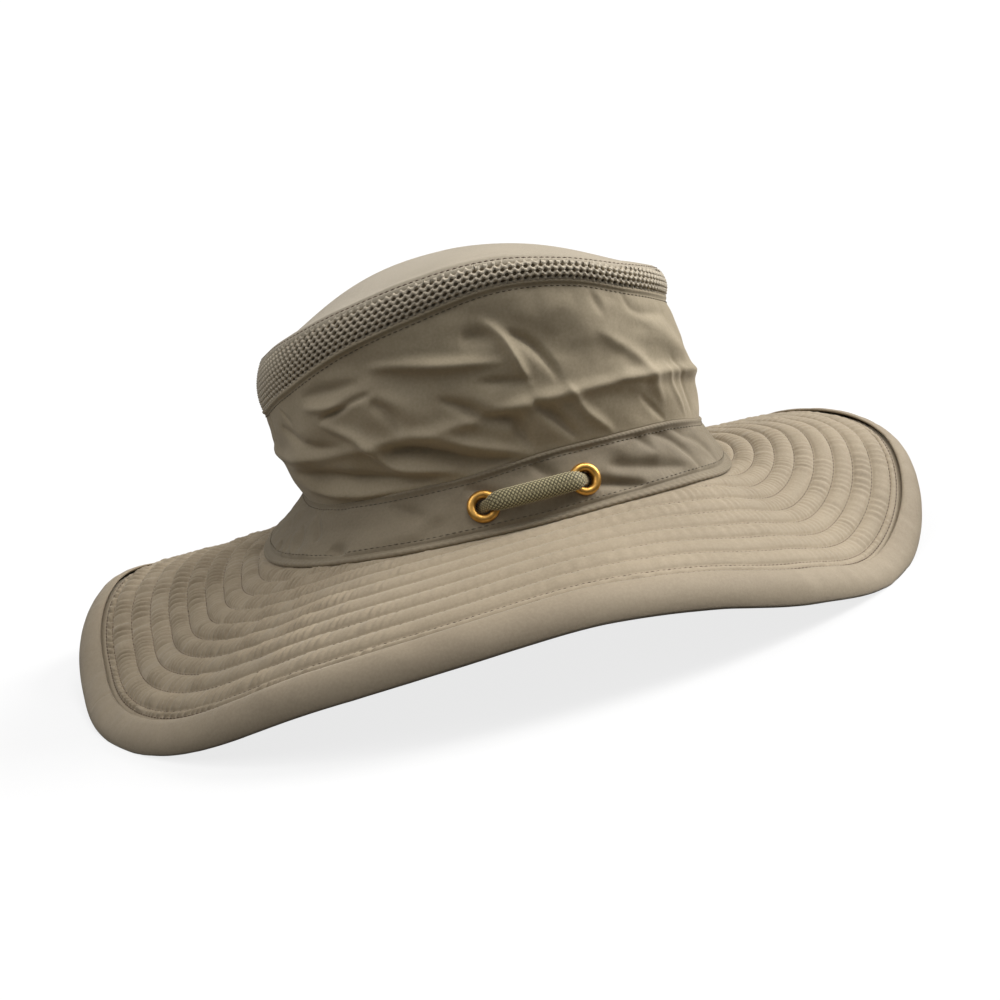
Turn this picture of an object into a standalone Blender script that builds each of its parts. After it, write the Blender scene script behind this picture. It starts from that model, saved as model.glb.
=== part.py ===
"""Soft vented sun hat, lying on its brim.

A domed top, a band of vent mesh, a soft wall, a flared hat band with four brass eyelets, a wide
quilted brim with a folded binding, and a cord that runs round inside the band and shows between
each pair of eyelets. The long axis of the hat is X and the side with the higher brim faces -Y.
Headings are degrees round the hat, from +X towards +Y.
"""
import bpy
import bmesh
import numpy as np
from math import cos, pi, radians, sin, tanh
from mathutils import Matrix, Vector

MM = 0.001

# Plan sizes of the crown, each the length and width of the cloth's middle at that height
BASE_LENGTH, BASE_WIDTH = 210 * MM, 172 * MM
WAIST_LENGTH, WAIST_WIDTH = 178 * MM, 153 * MM
VENT_FOOT_LENGTH, VENT_FOOT_WIDTH = 181 * MM, 157 * MM
VENT_HEAD_LENGTH, VENT_HEAD_WIDTH = 176 * MM, 153 * MM
PLAN_SQUARENESS = 2.25
WAIST_SHIFT = 6 * MM
VENT_FOOT_SHIFT = -4 * MM
VENT_HEAD_SHIFT = -3 * MM

# Heights and reaches
CROWN_HEIGHT = 116 * MM
DOME_RISE = 9.5 * MM
BRIM_WIDTH = 102 * MM
BRIM_TUCK = 5 * MM

# Cloth
WALL_CLOTH = 1.6 * MM
BRIM_CLOTH = 2.4 * MM
BINDING_CLOTH = 1.1 * MM
BINDING_WIDTH = 14.5 * MM
BINDING_SLACK = 2.6 * MM
BINDING_EASE = 0.5 * MM
GAP = 0.3 * MM
SEAM_GAP = GAP + 0.9 * WALL_CLOTH
FLOOR_PRESS = 2.0 * MM
VENT_BULGE = 2.5 * MM
WALL_BULGE = 2.5 * MM
FOLD_DEPTH = 3.2 * MM

# Eyelets and cord
EYELET_SPACING = 44 * MM
EYELET_HEADING = 267.5
EYELET_HEIGHT_SHARE = 0.45
EYELET_OUTER = 6.9 * MM
EYELET_BORE = 3.4 * MM
EYELET_BARREL = 0.8 * MM
EYELET_LIP = 1.5 * MM
EYELET_EDGE = 0.5 * MM
EYELET_WASHER = 0.8 * MM
CORD_RADIUS = 3.2 * MM
CORD_PINCH = 0.5
CORD_PINCH_REACH = 2.2
CORD_STANDOFF = 6.2 * MM
CORD_STEEPNESS = 1.8
CORD_SPACING = 14 * MM
CORD_STEPS = tuple(step * MM for step in (-10, -6, -3.5, -1.7, 0, 1.7, 3.5, 6, 10))

# Share of the brim's width over which its slope is taken
SLOPE_STEP = 0.01

# Facets
SIDES = 72
WALL_ROWS = 6
BAND_ROWS = 4
VENT_ROWS = 3
DOME_ROWS = 5
BRIM_ROWS = 7
RING_STEPS = 18

# The hat's form at even headings from 0 degrees: brim_width is a share of BRIM_WIDTH,
# brim_slope is the mean fall of the brim and brim_curl how much it steepens outward, in degrees,
# and the four rises are shares of CROWN_HEIGHT above the mean level of the brim's inner edge.
FORM_COLUMNS = ("brim_width", "brim_slope", "brim_curl", "base", "waist", "vent_foot", "vent_head")
FORM = (
    (1.02, 12.5, 16.0, 0.00, 0.165, 0.65, 0.77),
    (0.99, 5.5, 2.0, 0.00, 0.165, 0.655, 0.76),
    (0.91, 25.0, -6.0, 0.00, 0.18, 0.68, 0.79),
    (0.85, 33.0, -4.0, 0.00, 0.205, 0.70, 0.82),
    (0.81, 39.0, -4.0, -0.01, 0.22, 0.69, 0.81),
    (0.83, 35.0, -3.0, -0.02, 0.22, 0.64, 0.765),
    (0.88, 24.0, -5.0, -0.03, 0.19, 0.56, 0.705),
    (0.93, 9.0, 0.0, -0.04, 0.155, 0.50, 0.68),
    (1.00, 23.0, -3.0, -0.045, 0.15, 0.525, 0.72),
    (1.04, 28.5, 12.0, -0.02, 0.168, 0.635, 0.805),
    (0.90, 19.0, 10.5, 0.01, 0.21, 0.77, 0.90),
    (0.81, 14.5, 8.0, 0.03, 0.24, 0.855, 0.97),
    (0.755, 14.5, 9.0, 0.04, 0.275, 0.905, 0.995),
    (0.735, 22.0, 7.5, 0.05, 0.28, 0.88, 0.955),
    (0.775, 34.0, 3.0, 0.04, 0.262, 0.785, 0.875),
    (0.895, 36.3, 2.0, 0.00, 0.20, 0.70, 0.81),
)

# Main folds of the wall: heading, height share up the wall, length in degrees, rise along it as a
# share of the wall's height, half width and depth as shares of the wall's height and FOLD_DEPTH
FOLDS = (
    (236, 0.70, 16, -0.35, 0.16, -1.0),
    (250, 0.42, 26, -0.20, 0.14, 0.8),
    (228, 0.22, 20, 0.10, 0.12, -0.7),
    (285, 0.55, 30, -0.45, 0.15, -0.8),
    (300, 0.35, 26, -0.25, 0.14, 0.7),
    (325, 0.65, 14, -0.30, 0.18, 1.0),
    (200, 0.50, 14, 0.20, 0.20, 0.8),
    (90, 0.50, 40, 0.25, 0.22, -0.8),
    (40, 0.45, 30, -0.25, 0.20, 0.7),
    (140, 0.50, 30, 0.30, 0.20, -0.7),
)


def form(column, heading):
    """A column of FORM at any heading, by a closed Catmull-Rom curve through its rows."""
    values = [row[FORM_COLUMNS.index(column)] for row in FORM]
    place = (heading % 360) / 360 * len(values)
    k = int(place)
    t = place - k
    a, b, c, d = (values[(k + i) % len(values)] for i in (-1, 0, 1, 2))
    return b + 0.5 * t * (c - a + t * (2 * a - 5 * b + 4 * c - d + t * (3 * (b - c) + d - a)))


def plan(length, width, shift, heading):
    """Point of a rounded oval in plan, in the hat's own axes."""
    c, s = cos(radians(heading)), sin(radians(heading))
    n = PLAN_SQUARENESS
    reach = (abs(2 * c / length) ** n + abs(2 * s / width) ** n) ** (-1 / n)
    return Vector((shift + reach * c, reach * s, 0))


def base_plan(heading):
    return plan(BASE_LENGTH, BASE_WIDTH, 0, heading)


def base_outward(heading):
    """Outward direction of the crown's base, level."""
    along = base_plan(heading + 0.5) - base_plan(heading - 0.5)
    return Vector((along.y, -along.x, 0)).normalized()


def brim_size(heading):
    return BRIM_WIDTH * form("brim_width", heading)


def brim_middle(heading, out):
    """Point of the brim's middle, out along the cloth from the base."""
    t = out / brim_size(heading)
    slope = radians(form("brim_slope", heading))
    curl = radians(form("brim_curl", heading))
    mean = slope + curl * (t - 1)
    chord = out * (sin(curl * t) / (curl * t) if abs(curl * t) > 1e-6 else 1)
    point = base_plan(heading) + base_outward(heading) * chord * cos(mean)
    point.z = CROWN_HEIGHT * form("base", heading) - chord * sin(mean)
    return point


def brim_point(heading, out, lift=0):
    """Point of the brim, lifted off its middle along the cloth's own normal."""
    here = brim_middle(heading, out)
    step = SLOPE_STEP * BRIM_WIDTH
    outward = brim_middle(heading, out + step) - brim_middle(heading, out - step)
    share = out / brim_size(heading)
    before, after = (brim_middle(h, share * brim_size(h)) for h in (heading - 1, heading + 1))
    return here + outward.cross(after - before).normalized() * lift


def outline():
    return [brim_point(360 * k / SIDES, brim_size(360 * k / SIDES), -BINDING_HALF) for k in range(SIDES)]


BINDING_HALF = BRIM_CLOTH / 2 + BINDING_EASE + BINDING_CLOTH

# The hat is moved so that its brim rests on the floor and its outline is centred on the origin
EDGE = outline()
ORIGIN = Vector((
    -(max(p.x for p in EDGE) + min(p.x for p in EDGE)) / 2,
    -(max(p.y for p in EDGE) + min(p.y for p in EDGE)) / 2,
    -min(p.z for p in EDGE) - FLOOR_PRESS))

# Crown sections from the base up: length, width, shift and the FORM column of their height
CROWN = (
    (BASE_LENGTH, BASE_WIDTH, 0, "base"),
    (WAIST_LENGTH, WAIST_WIDTH, WAIST_SHIFT, "waist"),
    (VENT_FOOT_LENGTH, VENT_FOOT_WIDTH, VENT_FOOT_SHIFT, "vent_foot"),
    (VENT_HEAD_LENGTH, VENT_HEAD_WIDTH, VENT_HEAD_SHIFT, "vent_head"),
)
BASE_LIFT = BRIM_CLOTH / 2 + GAP + 0.6 * WALL_CLOTH


def crown_section(index, heading):
    length, width, shift, column = CROWN[index]
    point = plan(length, width, shift, heading)
    point.z = CROWN_HEIGHT * form(column, heading) + (BASE_LIFT if index == 0 else 0)
    return point


def crown_line(index, share, heading, bulge=0):
    """Point between two crown sections, pushed out by a bulge at mid height."""
    low, high = crown_section(index, heading), crown_section(index + 1, heading)
    point = low.lerp(high, share)
    return point + base_outward(heading) * bulge * 4 * share * (1 - share)


def fold_push(heading, share):
    """How far the folds move the wall outward."""
    push = 0
    for middle, height, length, rise, half, depth in FOLDS:
        along = (heading - middle + 180) % 360 - 180
        across = share - height - rise * along / length
        push += depth * np.exp(-(along / length) ** 2 - (across / half) ** 2)
    return FOLD_DEPTH * push * 4 * share * (1 - share)


def wall_line(share, heading):
    """The wall, a little full at mid height, with its main folds."""
    return crown_line(1, share, heading, WALL_BULGE) + base_outward(heading) * fold_push(heading, share)


def inset(low, high, share):
    """Share of a strip's height, kept half a seam gap from both its ends."""
    trim = 0.5 * SEAM_GAP / (high - low).length
    return trim + (1 - 2 * trim) * share


# Blender objects
def material(name, colour, roughness, metallic=0.0):
    made = bpy.data.materials.new(name)
    made.use_nodes = True
    shader = made.node_tree.nodes["Principled BSDF"]
    shader.inputs["Base Color"].default_value = (*colour, 1)
    shader.inputs["Roughness"].default_value = roughness
    shader.inputs["Metallic"].default_value = metallic
    return made


def add_object(name, data, look, smooth=True):
    data.name = name
    made = bpy.data.objects.new(name, data)
    COLLECTION.objects.link(made)
    data.materials.append(look)
    if smooth and isinstance(data, bpy.types.Mesh):
        data.shade_smooth()
        data.set_sharp_from_angle(angle=radians(50))
    return made


def strip(rows, closed_section=False, cap=None):
    """Mesh of closed rings of points joined row to row, with an end point where cap is given."""
    mesh = bpy.data.meshes.new("strip")
    shape = bmesh.new()
    rings = [[shape.verts.new(p + ORIGIN) for p in row] for row in rows]
    pairs = list(zip(rings, rings[1:]))
    if closed_section:
        pairs.append((rings[-1], rings[0]))
    for low, high in pairs:
        for k in range(len(low)):
            j = (k + 1) % len(low)
            shape.faces.new((low[k], low[j], high[j], high[k]))
    if cap is not None:
        tip = shape.verts.new(cap + ORIGIN)
        for k in range(len(rings[-1])):
            shape.faces.new((rings[-1][k], rings[-1][(k + 1) % len(rings[-1])], tip))
    shape.to_mesh(mesh)
    shape.free()
    return mesh


def thicken(piece, thickness):
    cloth = piece.modifiers.new("cloth", "SOLIDIFY")
    cloth.thickness = thickness
    cloth.offset = 0
    cloth.use_even_offset = True
    return cloth


def headings():
    return [360 * k / SIDES for k in range(SIDES)]


def shares(rows):
    return [k / (rows - 1) for k in range(rows)]


def add_shell(name, line, low_section, rows, look):
    """A strip of cloth between two crown sections."""
    rings = []
    for share in shares(rows):
        ring = []
        for heading in headings():
            low, high = crown_section(low_section, heading), crown_section(low_section + 1, heading)
            ring.append(line(inset(low, high, share), heading))
        rings.append(ring)
    piece = add_object(name, strip(rings), look)
    thicken(piece, WALL_CLOTH)
    return piece


def dome_point(ring_share, heading):
    """The top: a ruled sheet between its seams with an even rise, ring_share 0 at the seam."""
    rim = crown_section(3, heading)
    middle = sum((crown_section(3, h) for h in headings()), Vector()) / SIDES
    middle.z = sum(crown_section(3, h).z for h in (90, 270)) / 2
    out = 1 - ring_share
    point = middle + (rim - middle) * out
    across = sin(radians(heading)) * out
    ends = (crown_section(3, 0).z + crown_section(3, 180).z) / 2
    along = cos(radians(heading)) * out
    saddle = middle.z + (crown_section(3, 270).z - crown_section(3, 90).z) / 2 * -across
    saddle += (ends - middle.z) * along ** 2
    point.z = saddle * (1 - out ** 4) + rim.z * out ** 4 + DOME_RISE * (1 - out ** 2)
    return point


def add_dome(look):
    rings = []
    for k in range(DOME_ROWS):
        share = k / DOME_ROWS
        ring = []
        for heading in headings():
            trim = SEAM_GAP / crown_section(3, heading).xy.length
            ring.append(dome_point(trim + (1 - trim) * share, heading))
        rings.append(ring)
    piece = add_object("crown_top", strip(rings, cap=dome_point(1, 0)), look)
    thicken(piece, WALL_CLOTH)
    return piece


def add_brim(look):
    """The quilted sheet, with one row of facets inside the binding."""
    rings = []
    for share in shares(BRIM_ROWS - 1):
        rings.append([
            brim_point(h, -BRIM_TUCK + share * (brim_size(h) - BINDING_WIDTH + BRIM_TUCK)) for h in headings()])
    rings.append([brim_point(h, brim_size(h) - BINDING_SLACK - BINDING_EASE) for h in headings()])
    piece = add_object("brim", strip(rings[::-1]), look)
    thicken(piece, BRIM_CLOTH)
    return piece


def add_binding(look):
    """Folded tape round the brim's edge, pressed flat where it meets the floor."""
    slot, half = BRIM_CLOTH / 2 + BINDING_EASE, BINDING_HALF
    section = (
        (-BINDING_WIDTH, half), (-0.1 * BINDING_WIDTH, half), (0, 0.4 * half), (0, -0.6 * half),
        (-0.1 * BINDING_WIDTH, -half), (-0.35 * BINDING_WIDTH, -half), (-BINDING_WIDTH, -half),
        (-BINDING_WIDTH, -slot), (-BINDING_SLACK, -slot), (-BINDING_SLACK, slot), (-BINDING_WIDTH, slot))
    rings = []
    for out, lift in section:
        ring = [brim_point(h, brim_size(h) + out, lift) for h in headings()]
        for point in ring:
            point.z = max(point.z, -ORIGIN.z)
        rings.append(ring)
    return add_object("brim_binding", strip(rings[::-1], closed_section=True), look)


def band_frame(heading, share=EYELET_HEIGHT_SHARE):
    """Point of the band's middle, its outward normal and the level direction along it."""
    here = crown_line(0, share, heading)
    along = (crown_line(0, share, heading + 1) - crown_line(0, share, heading - 1)).normalized()
    up = (crown_section(1, heading) - crown_section(0, heading)).normalized()
    return here, along.cross(up).normalized(), along


def heading_at(start, distance):
    """Heading a distance along the band's middle from a start heading."""
    step = 0.25 if distance > 0 else -0.25
    heading, walked = start, 0
    while walked < abs(distance):
        walked += (crown_line(0, EYELET_HEIGHT_SHARE, heading + step)
                   - crown_line(0, EYELET_HEIGHT_SHARE, heading)).length
        heading += step
    return heading


def eyelet_headings():
    """The near pair either side of EYELET_HEADING, and the far pair opposite them."""
    half = EYELET_SPACING / 2
    near = heading_at(EYELET_HEADING, -half), heading_at(EYELET_HEADING, half)
    far = heading_at(360 - EYELET_HEADING, -half), heading_at(360 - EYELET_HEADING, half)
    return {"near_left": near[0], "near_right": near[1], "far_right": far[0], "far_left": far[1]}


def add_eyelet(name, heading, look):
    """Turned grommet with a domed outer lip and a thin inner one."""
    face = WALL_CLOTH / 2 + GAP
    barrel = EYELET_BORE + EYELET_BARREL
    rim = EYELET_OUTER - EYELET_EDGE
    profile = (
        (EYELET_BORE, -face - 0.25 * EYELET_WASHER), (EYELET_BORE + 0.5 * EYELET_EDGE, -face - EYELET_WASHER),
        (rim, -face - 0.9 * EYELET_WASHER), (rim, -face), (barrel, -face), (barrel, face),
        (EYELET_OUTER, face), (rim, face + 0.6 * EYELET_LIP),
        ((EYELET_OUTER + EYELET_BORE) / 2, face + EYELET_LIP), (EYELET_BORE, face + 0.4 * EYELET_LIP))
    mesh = bpy.data.meshes.new(name)
    shape = bmesh.new()
    verts = [shape.verts.new((r, 0, h)) for r, h in profile]
    for a, b in zip(verts, verts[1:] + verts[:1]):
        shape.edges.new((a, b))
    shape.to_mesh(mesh)
    shape.free()
    piece = add_object(name, mesh, look, smooth=False)
    turn = piece.modifiers.new("turn", "SCREW")
    turn.axis = "Z"
    turn.use_normal_flip = True
    turn.steps = turn.render_steps = RING_STEPS
    turn.use_merge_vertices = True
    turn.merge_threshold = 0.00001
    turn.use_smooth_shade = True
    here, normal, along = band_frame(heading)
    piece.matrix_world = place(here, normal, along)
    return piece


def place(here, normal, along):
    across = normal.cross(along)
    turned = Matrix((along, across, normal)).transposed().to_4x4()
    return Matrix.Translation(here + ORIGIN) @ turned


def punch(band, heading):
    """Hole in the band that clears an eyelet's barrel."""
    bpy.ops.mesh.primitive_cylinder_add(
        vertices=RING_STEPS, radius=EYELET_BORE + EYELET_BARREL + GAP, depth=8 * WALL_CLOTH)
    cutter = bpy.context.object
    cutter.name = "hole_cutter"
    cutter.matrix_world = place(*band_frame(heading))
    for owner in cutter.users_collection:
        owner.objects.unlink(cutter)
    CUTTERS.objects.link(cutter)
    cutter.hide_render = True
    cutter.display_type = "WIRE"
    hole = band.modifiers.new("hole", "BOOLEAN")
    hole.operation = "DIFFERENCE"
    hole.object = cutter


def cord_standoff(heading, holes):
    """Height of the cord's middle over the band, outside between each pair and inside elsewhere."""
    away = -EYELET_SPACING
    for first, last in ((holes["near_left"], holes["near_right"]), (holes["far_right"], holes["far_left"])):
        middle = crown_line(0, EYELET_HEIGHT_SHARE, (first + last) / 2)
        apart = (crown_line(0, EYELET_HEIGHT_SHARE, heading) - middle).length
        away = max(away, EYELET_SPACING / 2 - apart)
    return CORD_STANDOFF * tanh(CORD_STEEPNESS * away / CORD_STANDOFF)


def cord_headings(holes):
    """Headings of the cord's points: close together at each eyelet and even between them."""
    order = sorted(holes.values())
    picks = []
    for here, following in zip(order, order[1:] + [order[0] + 360]):
        picks += [heading_at(here, step) for step in CORD_STEPS]
        first, last = heading_at(here, CORD_STEPS[-1]), heading_at(following, CORD_STEPS[0])
        apart = (last - first) / 360 * pi * (BASE_LENGTH + BASE_WIDTH) / 2
        count = max(1, round(apart / CORD_SPACING) - 1)
        picks += [first + (last - first) * (k + 1) / (count + 1) for k in range(count)]
    return picks


def add_cord(look):
    """One closed loop, pinched where it passes the eyelets."""
    holes = eyelet_headings()
    picks = cord_headings(holes)
    curve = bpy.data.curves.new("cord", "CURVE")
    curve.dimensions = "3D"
    curve.bevel_depth = CORD_RADIUS
    curve.bevel_resolution = 2
    spline = curve.splines.new("POLY")
    spline.points.add(len(picks) - 1)
    spline.use_cyclic_u = True
    for point, heading in zip(spline.points, picks):
        here, normal, along = band_frame(heading)
        lift = cord_standoff(heading, holes)
        point.co = (*(here + normal * lift + ORIGIN), 1)
        tight = 1 - min(1, abs(lift) / CORD_STANDOFF)
        point.radius = 1 - (1 - CORD_PINCH) * min(1, CORD_PINCH_REACH * tight)
    return add_object("cord", curve, look)


for old in list(bpy.data.objects):
    bpy.data.objects.remove(old, do_unlink=True)
COLLECTION = bpy.data.collections.new("sun_hat")
CUTTERS = bpy.data.collections.new("cutters")
bpy.context.scene.collection.children.link(COLLECTION)
bpy.context.scene.collection.children.link(CUTTERS)

top = add_dome(material("top_nylon", (0.56, 0.50, 0.42), 0.7))
vent = add_shell("vent_mesh", lambda share, h: crown_line(2, share, h, VENT_BULGE), 2, VENT_ROWS,
                 material("vent_knit", (0.36, 0.30, 0.22), 0.8))
wall = add_shell("crown_wall", wall_line, 1, WALL_ROWS, material("wall_nylon", (0.26, 0.22, 0.16), 0.7))
band = add_shell("hat_band", lambda share, h: crown_line(0, share, h), 0, BAND_ROWS,
                 material("band_nylon", (0.19, 0.16, 0.10), 0.7))
brim = add_brim(material("brim_nylon", (0.38, 0.32, 0.24), 0.75))
binding = add_binding(material("binding_nylon", (0.31, 0.26, 0.19), 0.75))
brass = material("eyelet_brass", (0.72, 0.42, 0.12), 0.3, 1.0)
for side, side_heading in eyelet_headings().items():
    punch(band, side_heading)
    add_eyelet("eyelet_" + side, side_heading, brass.copy())
cord = add_cord(material("cord_braid", (0.14, 0.11, 0.05), 0.85))
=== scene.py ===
"""Looks of the sun hat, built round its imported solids.

Every piece of cloth follows the same named sizes and tables as its solid. Lengths are metres. The hat's
long axis is X, its near side faces -Y, and headings are degrees from +X towards +Y. Distances named
inward run in from the brim's outer edge, and rises run up the cloth from the seam under it.
"""
import bpy
import numpy as np
from math import pi, radians
from mathutils import Matrix, Vector


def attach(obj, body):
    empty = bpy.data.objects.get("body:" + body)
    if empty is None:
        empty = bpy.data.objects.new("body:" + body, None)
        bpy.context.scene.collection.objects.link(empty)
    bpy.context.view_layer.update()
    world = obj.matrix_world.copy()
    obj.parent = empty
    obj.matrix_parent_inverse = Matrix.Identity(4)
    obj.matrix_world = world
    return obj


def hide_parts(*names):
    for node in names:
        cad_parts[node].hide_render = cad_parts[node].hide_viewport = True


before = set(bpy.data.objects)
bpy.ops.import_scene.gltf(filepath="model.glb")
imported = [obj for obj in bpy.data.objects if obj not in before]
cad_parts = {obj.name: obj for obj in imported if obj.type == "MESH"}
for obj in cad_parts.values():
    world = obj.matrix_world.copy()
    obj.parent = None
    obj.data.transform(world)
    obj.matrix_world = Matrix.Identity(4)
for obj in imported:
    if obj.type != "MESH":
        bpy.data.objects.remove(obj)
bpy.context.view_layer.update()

MM = 0.001

# Sizes of the hat, as its solids have them
BASE_LENGTH, BASE_WIDTH = 210 * MM, 172 * MM
WAIST_LENGTH, WAIST_WIDTH, WAIST_SHIFT = 178 * MM, 153 * MM, 6 * MM
VENT_FOOT_LENGTH, VENT_FOOT_WIDTH, VENT_FOOT_SHIFT = 181 * MM, 157 * MM, -4 * MM
VENT_HEAD_LENGTH, VENT_HEAD_WIDTH, VENT_HEAD_SHIFT = 176 * MM, 153 * MM, -3 * MM
PLAN_SQUARENESS = 2.25
CROWN_HEIGHT = 116 * MM
DOME_RISE = 9.5 * MM
BRIM_WIDTH = 102 * MM
BRIM_TUCK = 5 * MM
WALL_CLOTH = 1.6 * MM
BRIM_CLOTH = 2.4 * MM
BINDING_CLOTH = 1.1 * MM
BINDING_WIDTH = 14.5 * MM
BINDING_SLACK = 2.6 * MM
BINDING_EASE = 0.5 * MM
GAP = 0.3 * MM
FLOOR_PRESS = 2.0 * MM
VENT_BULGE = 2.5 * MM
WALL_BULGE = 2.5 * MM
FOLD_DEPTH = 3.2 * MM
EYELET_SPACING = 44 * MM
EYELET_HEADING = 267.5
EYELET_HEIGHT_SHARE = 0.45
EYELET_BORE = 3.4 * MM
CORD_PINCH = 0.58
CORD_STANDOFF = 6.2 * MM
CORD_STEEPNESS = 1.8
BINDING_HALF = BRIM_CLOTH / 2 + BINDING_EASE + BINDING_CLOTH
BASE_LIFT = BRIM_CLOTH / 2 + GAP + 0.6 * WALL_CLOTH
SLOPE_STEP = 0.01 * BRIM_WIDTH
SIDES = 72

# Form of the hat at even headings from 0: the brim's width as a share of BRIM_WIDTH, its mean slope
# and curl in degrees, and four rises of the crown as shares of CROWN_HEIGHT
FORM_COLUMNS = ("brim_width", "brim_slope", "brim_curl", "base", "waist", "vent_foot", "vent_head")
FORM = np.array((
    (1.02, 12.5, 16.0, 0.00, 0.165, 0.65, 0.77),
    (0.99, 5.5, 2.0, 0.00, 0.165, 0.655, 0.76),
    (0.91, 25.0, -6.0, 0.00, 0.18, 0.68, 0.79),
    (0.85, 33.0, -4.0, 0.00, 0.205, 0.70, 0.82),
    (0.81, 39.0, -4.0, -0.01, 0.22, 0.69, 0.81),
    (0.83, 35.0, -3.0, -0.02, 0.22, 0.64, 0.765),
    (0.88, 24.0, -5.0, -0.03, 0.19, 0.56, 0.705),
    (0.93, 9.0, 0.0, -0.04, 0.155, 0.50, 0.68),
    (1.00, 23.0, -3.0, -0.045, 0.15, 0.525, 0.72),
    (1.04, 28.5, 12.0, -0.02, 0.168, 0.635, 0.805),
    (0.90, 19.0, 10.5, 0.01, 0.21, 0.77, 0.90),
    (0.81, 14.5, 8.0, 0.03, 0.24, 0.855, 0.97),
    (0.755, 14.5, 9.0, 0.04, 0.275, 0.905, 0.995),
    (0.735, 22.0, 7.5, 0.05, 0.28, 0.88, 0.955),
    (0.775, 34.0, 3.0, 0.04, 0.262, 0.785, 0.875),
    (0.895, 36.3, 2.0, 0.00, 0.20, 0.70, 0.81),
))

# Main folds of the wall, as in its solid: heading, height share, length in degrees, rise along it and
# half width as shares of the wall's height, and depth as a share of FOLD_DEPTH
FOLDS = (
    (236, 0.70, 16, -0.35, 0.16, -1.0),
    (250, 0.42, 26, -0.20, 0.14, 0.8),
    (228, 0.22, 20, 0.10, 0.12, -0.7),
    (285, 0.55, 30, -0.45, 0.15, -0.8),
    (300, 0.35, 26, -0.25, 0.14, 0.7),
    (325, 0.65, 14, -0.30, 0.18, 1.0),
    (200, 0.50, 14, 0.20, 0.20, 0.8),
    (90, 0.50, 40, 0.25, 0.22, -0.8),
    (40, 0.45, 30, -0.25, 0.20, 0.7),
    (140, 0.50, 30, 0.30, 0.20, -0.7),
)

# Quilting: distances of the stitch rows in from the brim's edge
HEM_ROW = 16.4 * MM
FIRST_ROW = 19.6 * MM
ROW_SPACING = 9.42 * MM
ROWS = np.array([HEM_ROW] + [FIRST_ROW + ROW_SPACING * k for k in range(11)])

# Puckers of the quilting: heading, height of the ripples in mm, their length along the brim in mm,
# and how far they slant across one channel in mm
PUCKERS = np.array((
    (0, 0.42, 4.6, 1.0),
    (30, 0.32, 5.0, 1.0),
    (70, 0.24, 6.0, 0.5),
    (110, 0.28, 6.0, 0.0),
    (150, 0.70, 4.8, -1.0),
    (172, 1.15, 4.4, -1.5),
    (195, 1.15, 4.2, -2.0),
    (212, 0.85, 3.5, -2.6),
    (228, 0.45, 3.6, -3.2),
    (245, 0.20, 5.0, -3.0),
    (275, 0.20, 8.0, -2.0),
    (300, 0.24, 6.5, -2.0),
    (320, 0.38, 4.2, -1.5),
    (340, 0.48, 4.0, -0.5),
))


def sample(table, column, heading):
    """A column of a table whose first column is the heading."""
    return np.interp(np.mod(heading, 360), table[:, 0], table[:, column], period=360)


def length_of(vector):
    return np.linalg.norm(vector, axis=-1)


def unit(vector):
    return vector / np.maximum(length_of(vector), 1e-12)[..., None]


def running(steps):
    """Distances from the first point, from the steps between the points."""
    return np.concatenate([[0], np.cumsum(steps)])


def curve_between(a, b, c, d, t):
    """Value of a Catmull-Rom curve at t from b to c."""
    return b + 0.5 * t * (c - a + t * (2 * a - 5 * b + 4 * c - d + t * (3 * (b - c) + d - a)))


def point(x, y, z):
    return np.stack(np.broadcast_arrays(x, y, z), axis=-1).astype(float)


def circle(count):
    """A column of even angles round a circle."""
    return 2 * pi * np.arange(count)[:, None] / count


def form(column, heading):
    """A column of FORM at any heading, by a closed curve through its rows."""
    values = FORM[:, FORM_COLUMNS.index(column)]
    place = np.mod(heading, 360) / 360 * len(values)
    k = np.floor(place).astype(int)
    return curve_between(*(values[(k + i) % len(values)] for i in (-1, 0, 1, 2)), place - k)


def plan(length, width, shift, heading):
    """Point of a rounded oval in plan, in the hat's own axes."""
    c, s = np.cos(np.radians(heading)), np.sin(np.radians(heading))
    n = PLAN_SQUARENESS
    reach = (np.abs(2 * c / length) ** n + np.abs(2 * s / width) ** n) ** (-1 / n)
    return point(shift + reach * c, reach * s, 0)


def base_plan(heading):
    return plan(BASE_LENGTH, BASE_WIDTH, 0, heading)


def base_outward(heading):
    along = base_plan(heading + 0.5) - base_plan(heading - 0.5)
    return unit(point(along[..., 1], -along[..., 0], 0))


def brim_size(heading):
    return BRIM_WIDTH * form("brim_width", heading)


def brim_middle(heading, out):
    """Point of the brim's middle, out along the cloth from the base."""
    t = out / brim_size(heading)
    slope, curl = np.radians(form("brim_slope", heading)), np.radians(form("brim_curl", heading))
    mean = slope + curl * (t - 1)
    chord = out * np.sinc(curl * t / pi)
    here = base_plan(heading) + base_outward(heading) * (chord * np.cos(mean))[..., None]
    here[..., 2] = CROWN_HEIGHT * form("base", heading) - chord * np.sin(mean)
    return here


def brim_point(heading, out, lift):
    """Point of the brim, lifted off its middle along the cloth's own normal."""
    outward = brim_middle(heading, out + SLOPE_STEP) - brim_middle(heading, out - SLOPE_STEP)
    share = out / brim_size(heading)
    before, after = (brim_middle(h, share * brim_size(h)) for h in (heading - 1, heading + 1))
    normal = unit(np.cross(outward, after - before))
    return brim_middle(heading, out) + normal * np.asarray(lift)[..., None]


def from_edge(heading, inward, lift):
    """Point of the brim at a distance inward from its edge."""
    return brim_point(heading, brim_size(heading) - inward, lift)


def find_origin():
    """The shift that stands the hat on the floor with its outline centred."""
    heading = 360 * np.arange(SIDES) / SIDES
    edge = from_edge(heading, 0, np.full(SIDES, -BINDING_HALF))
    low, high = edge.min(axis=0), edge.max(axis=0)
    return np.array((-(high[0] + low[0]) / 2, -(high[1] + low[1]) / 2, -low[2] - FLOOR_PRESS))


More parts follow.
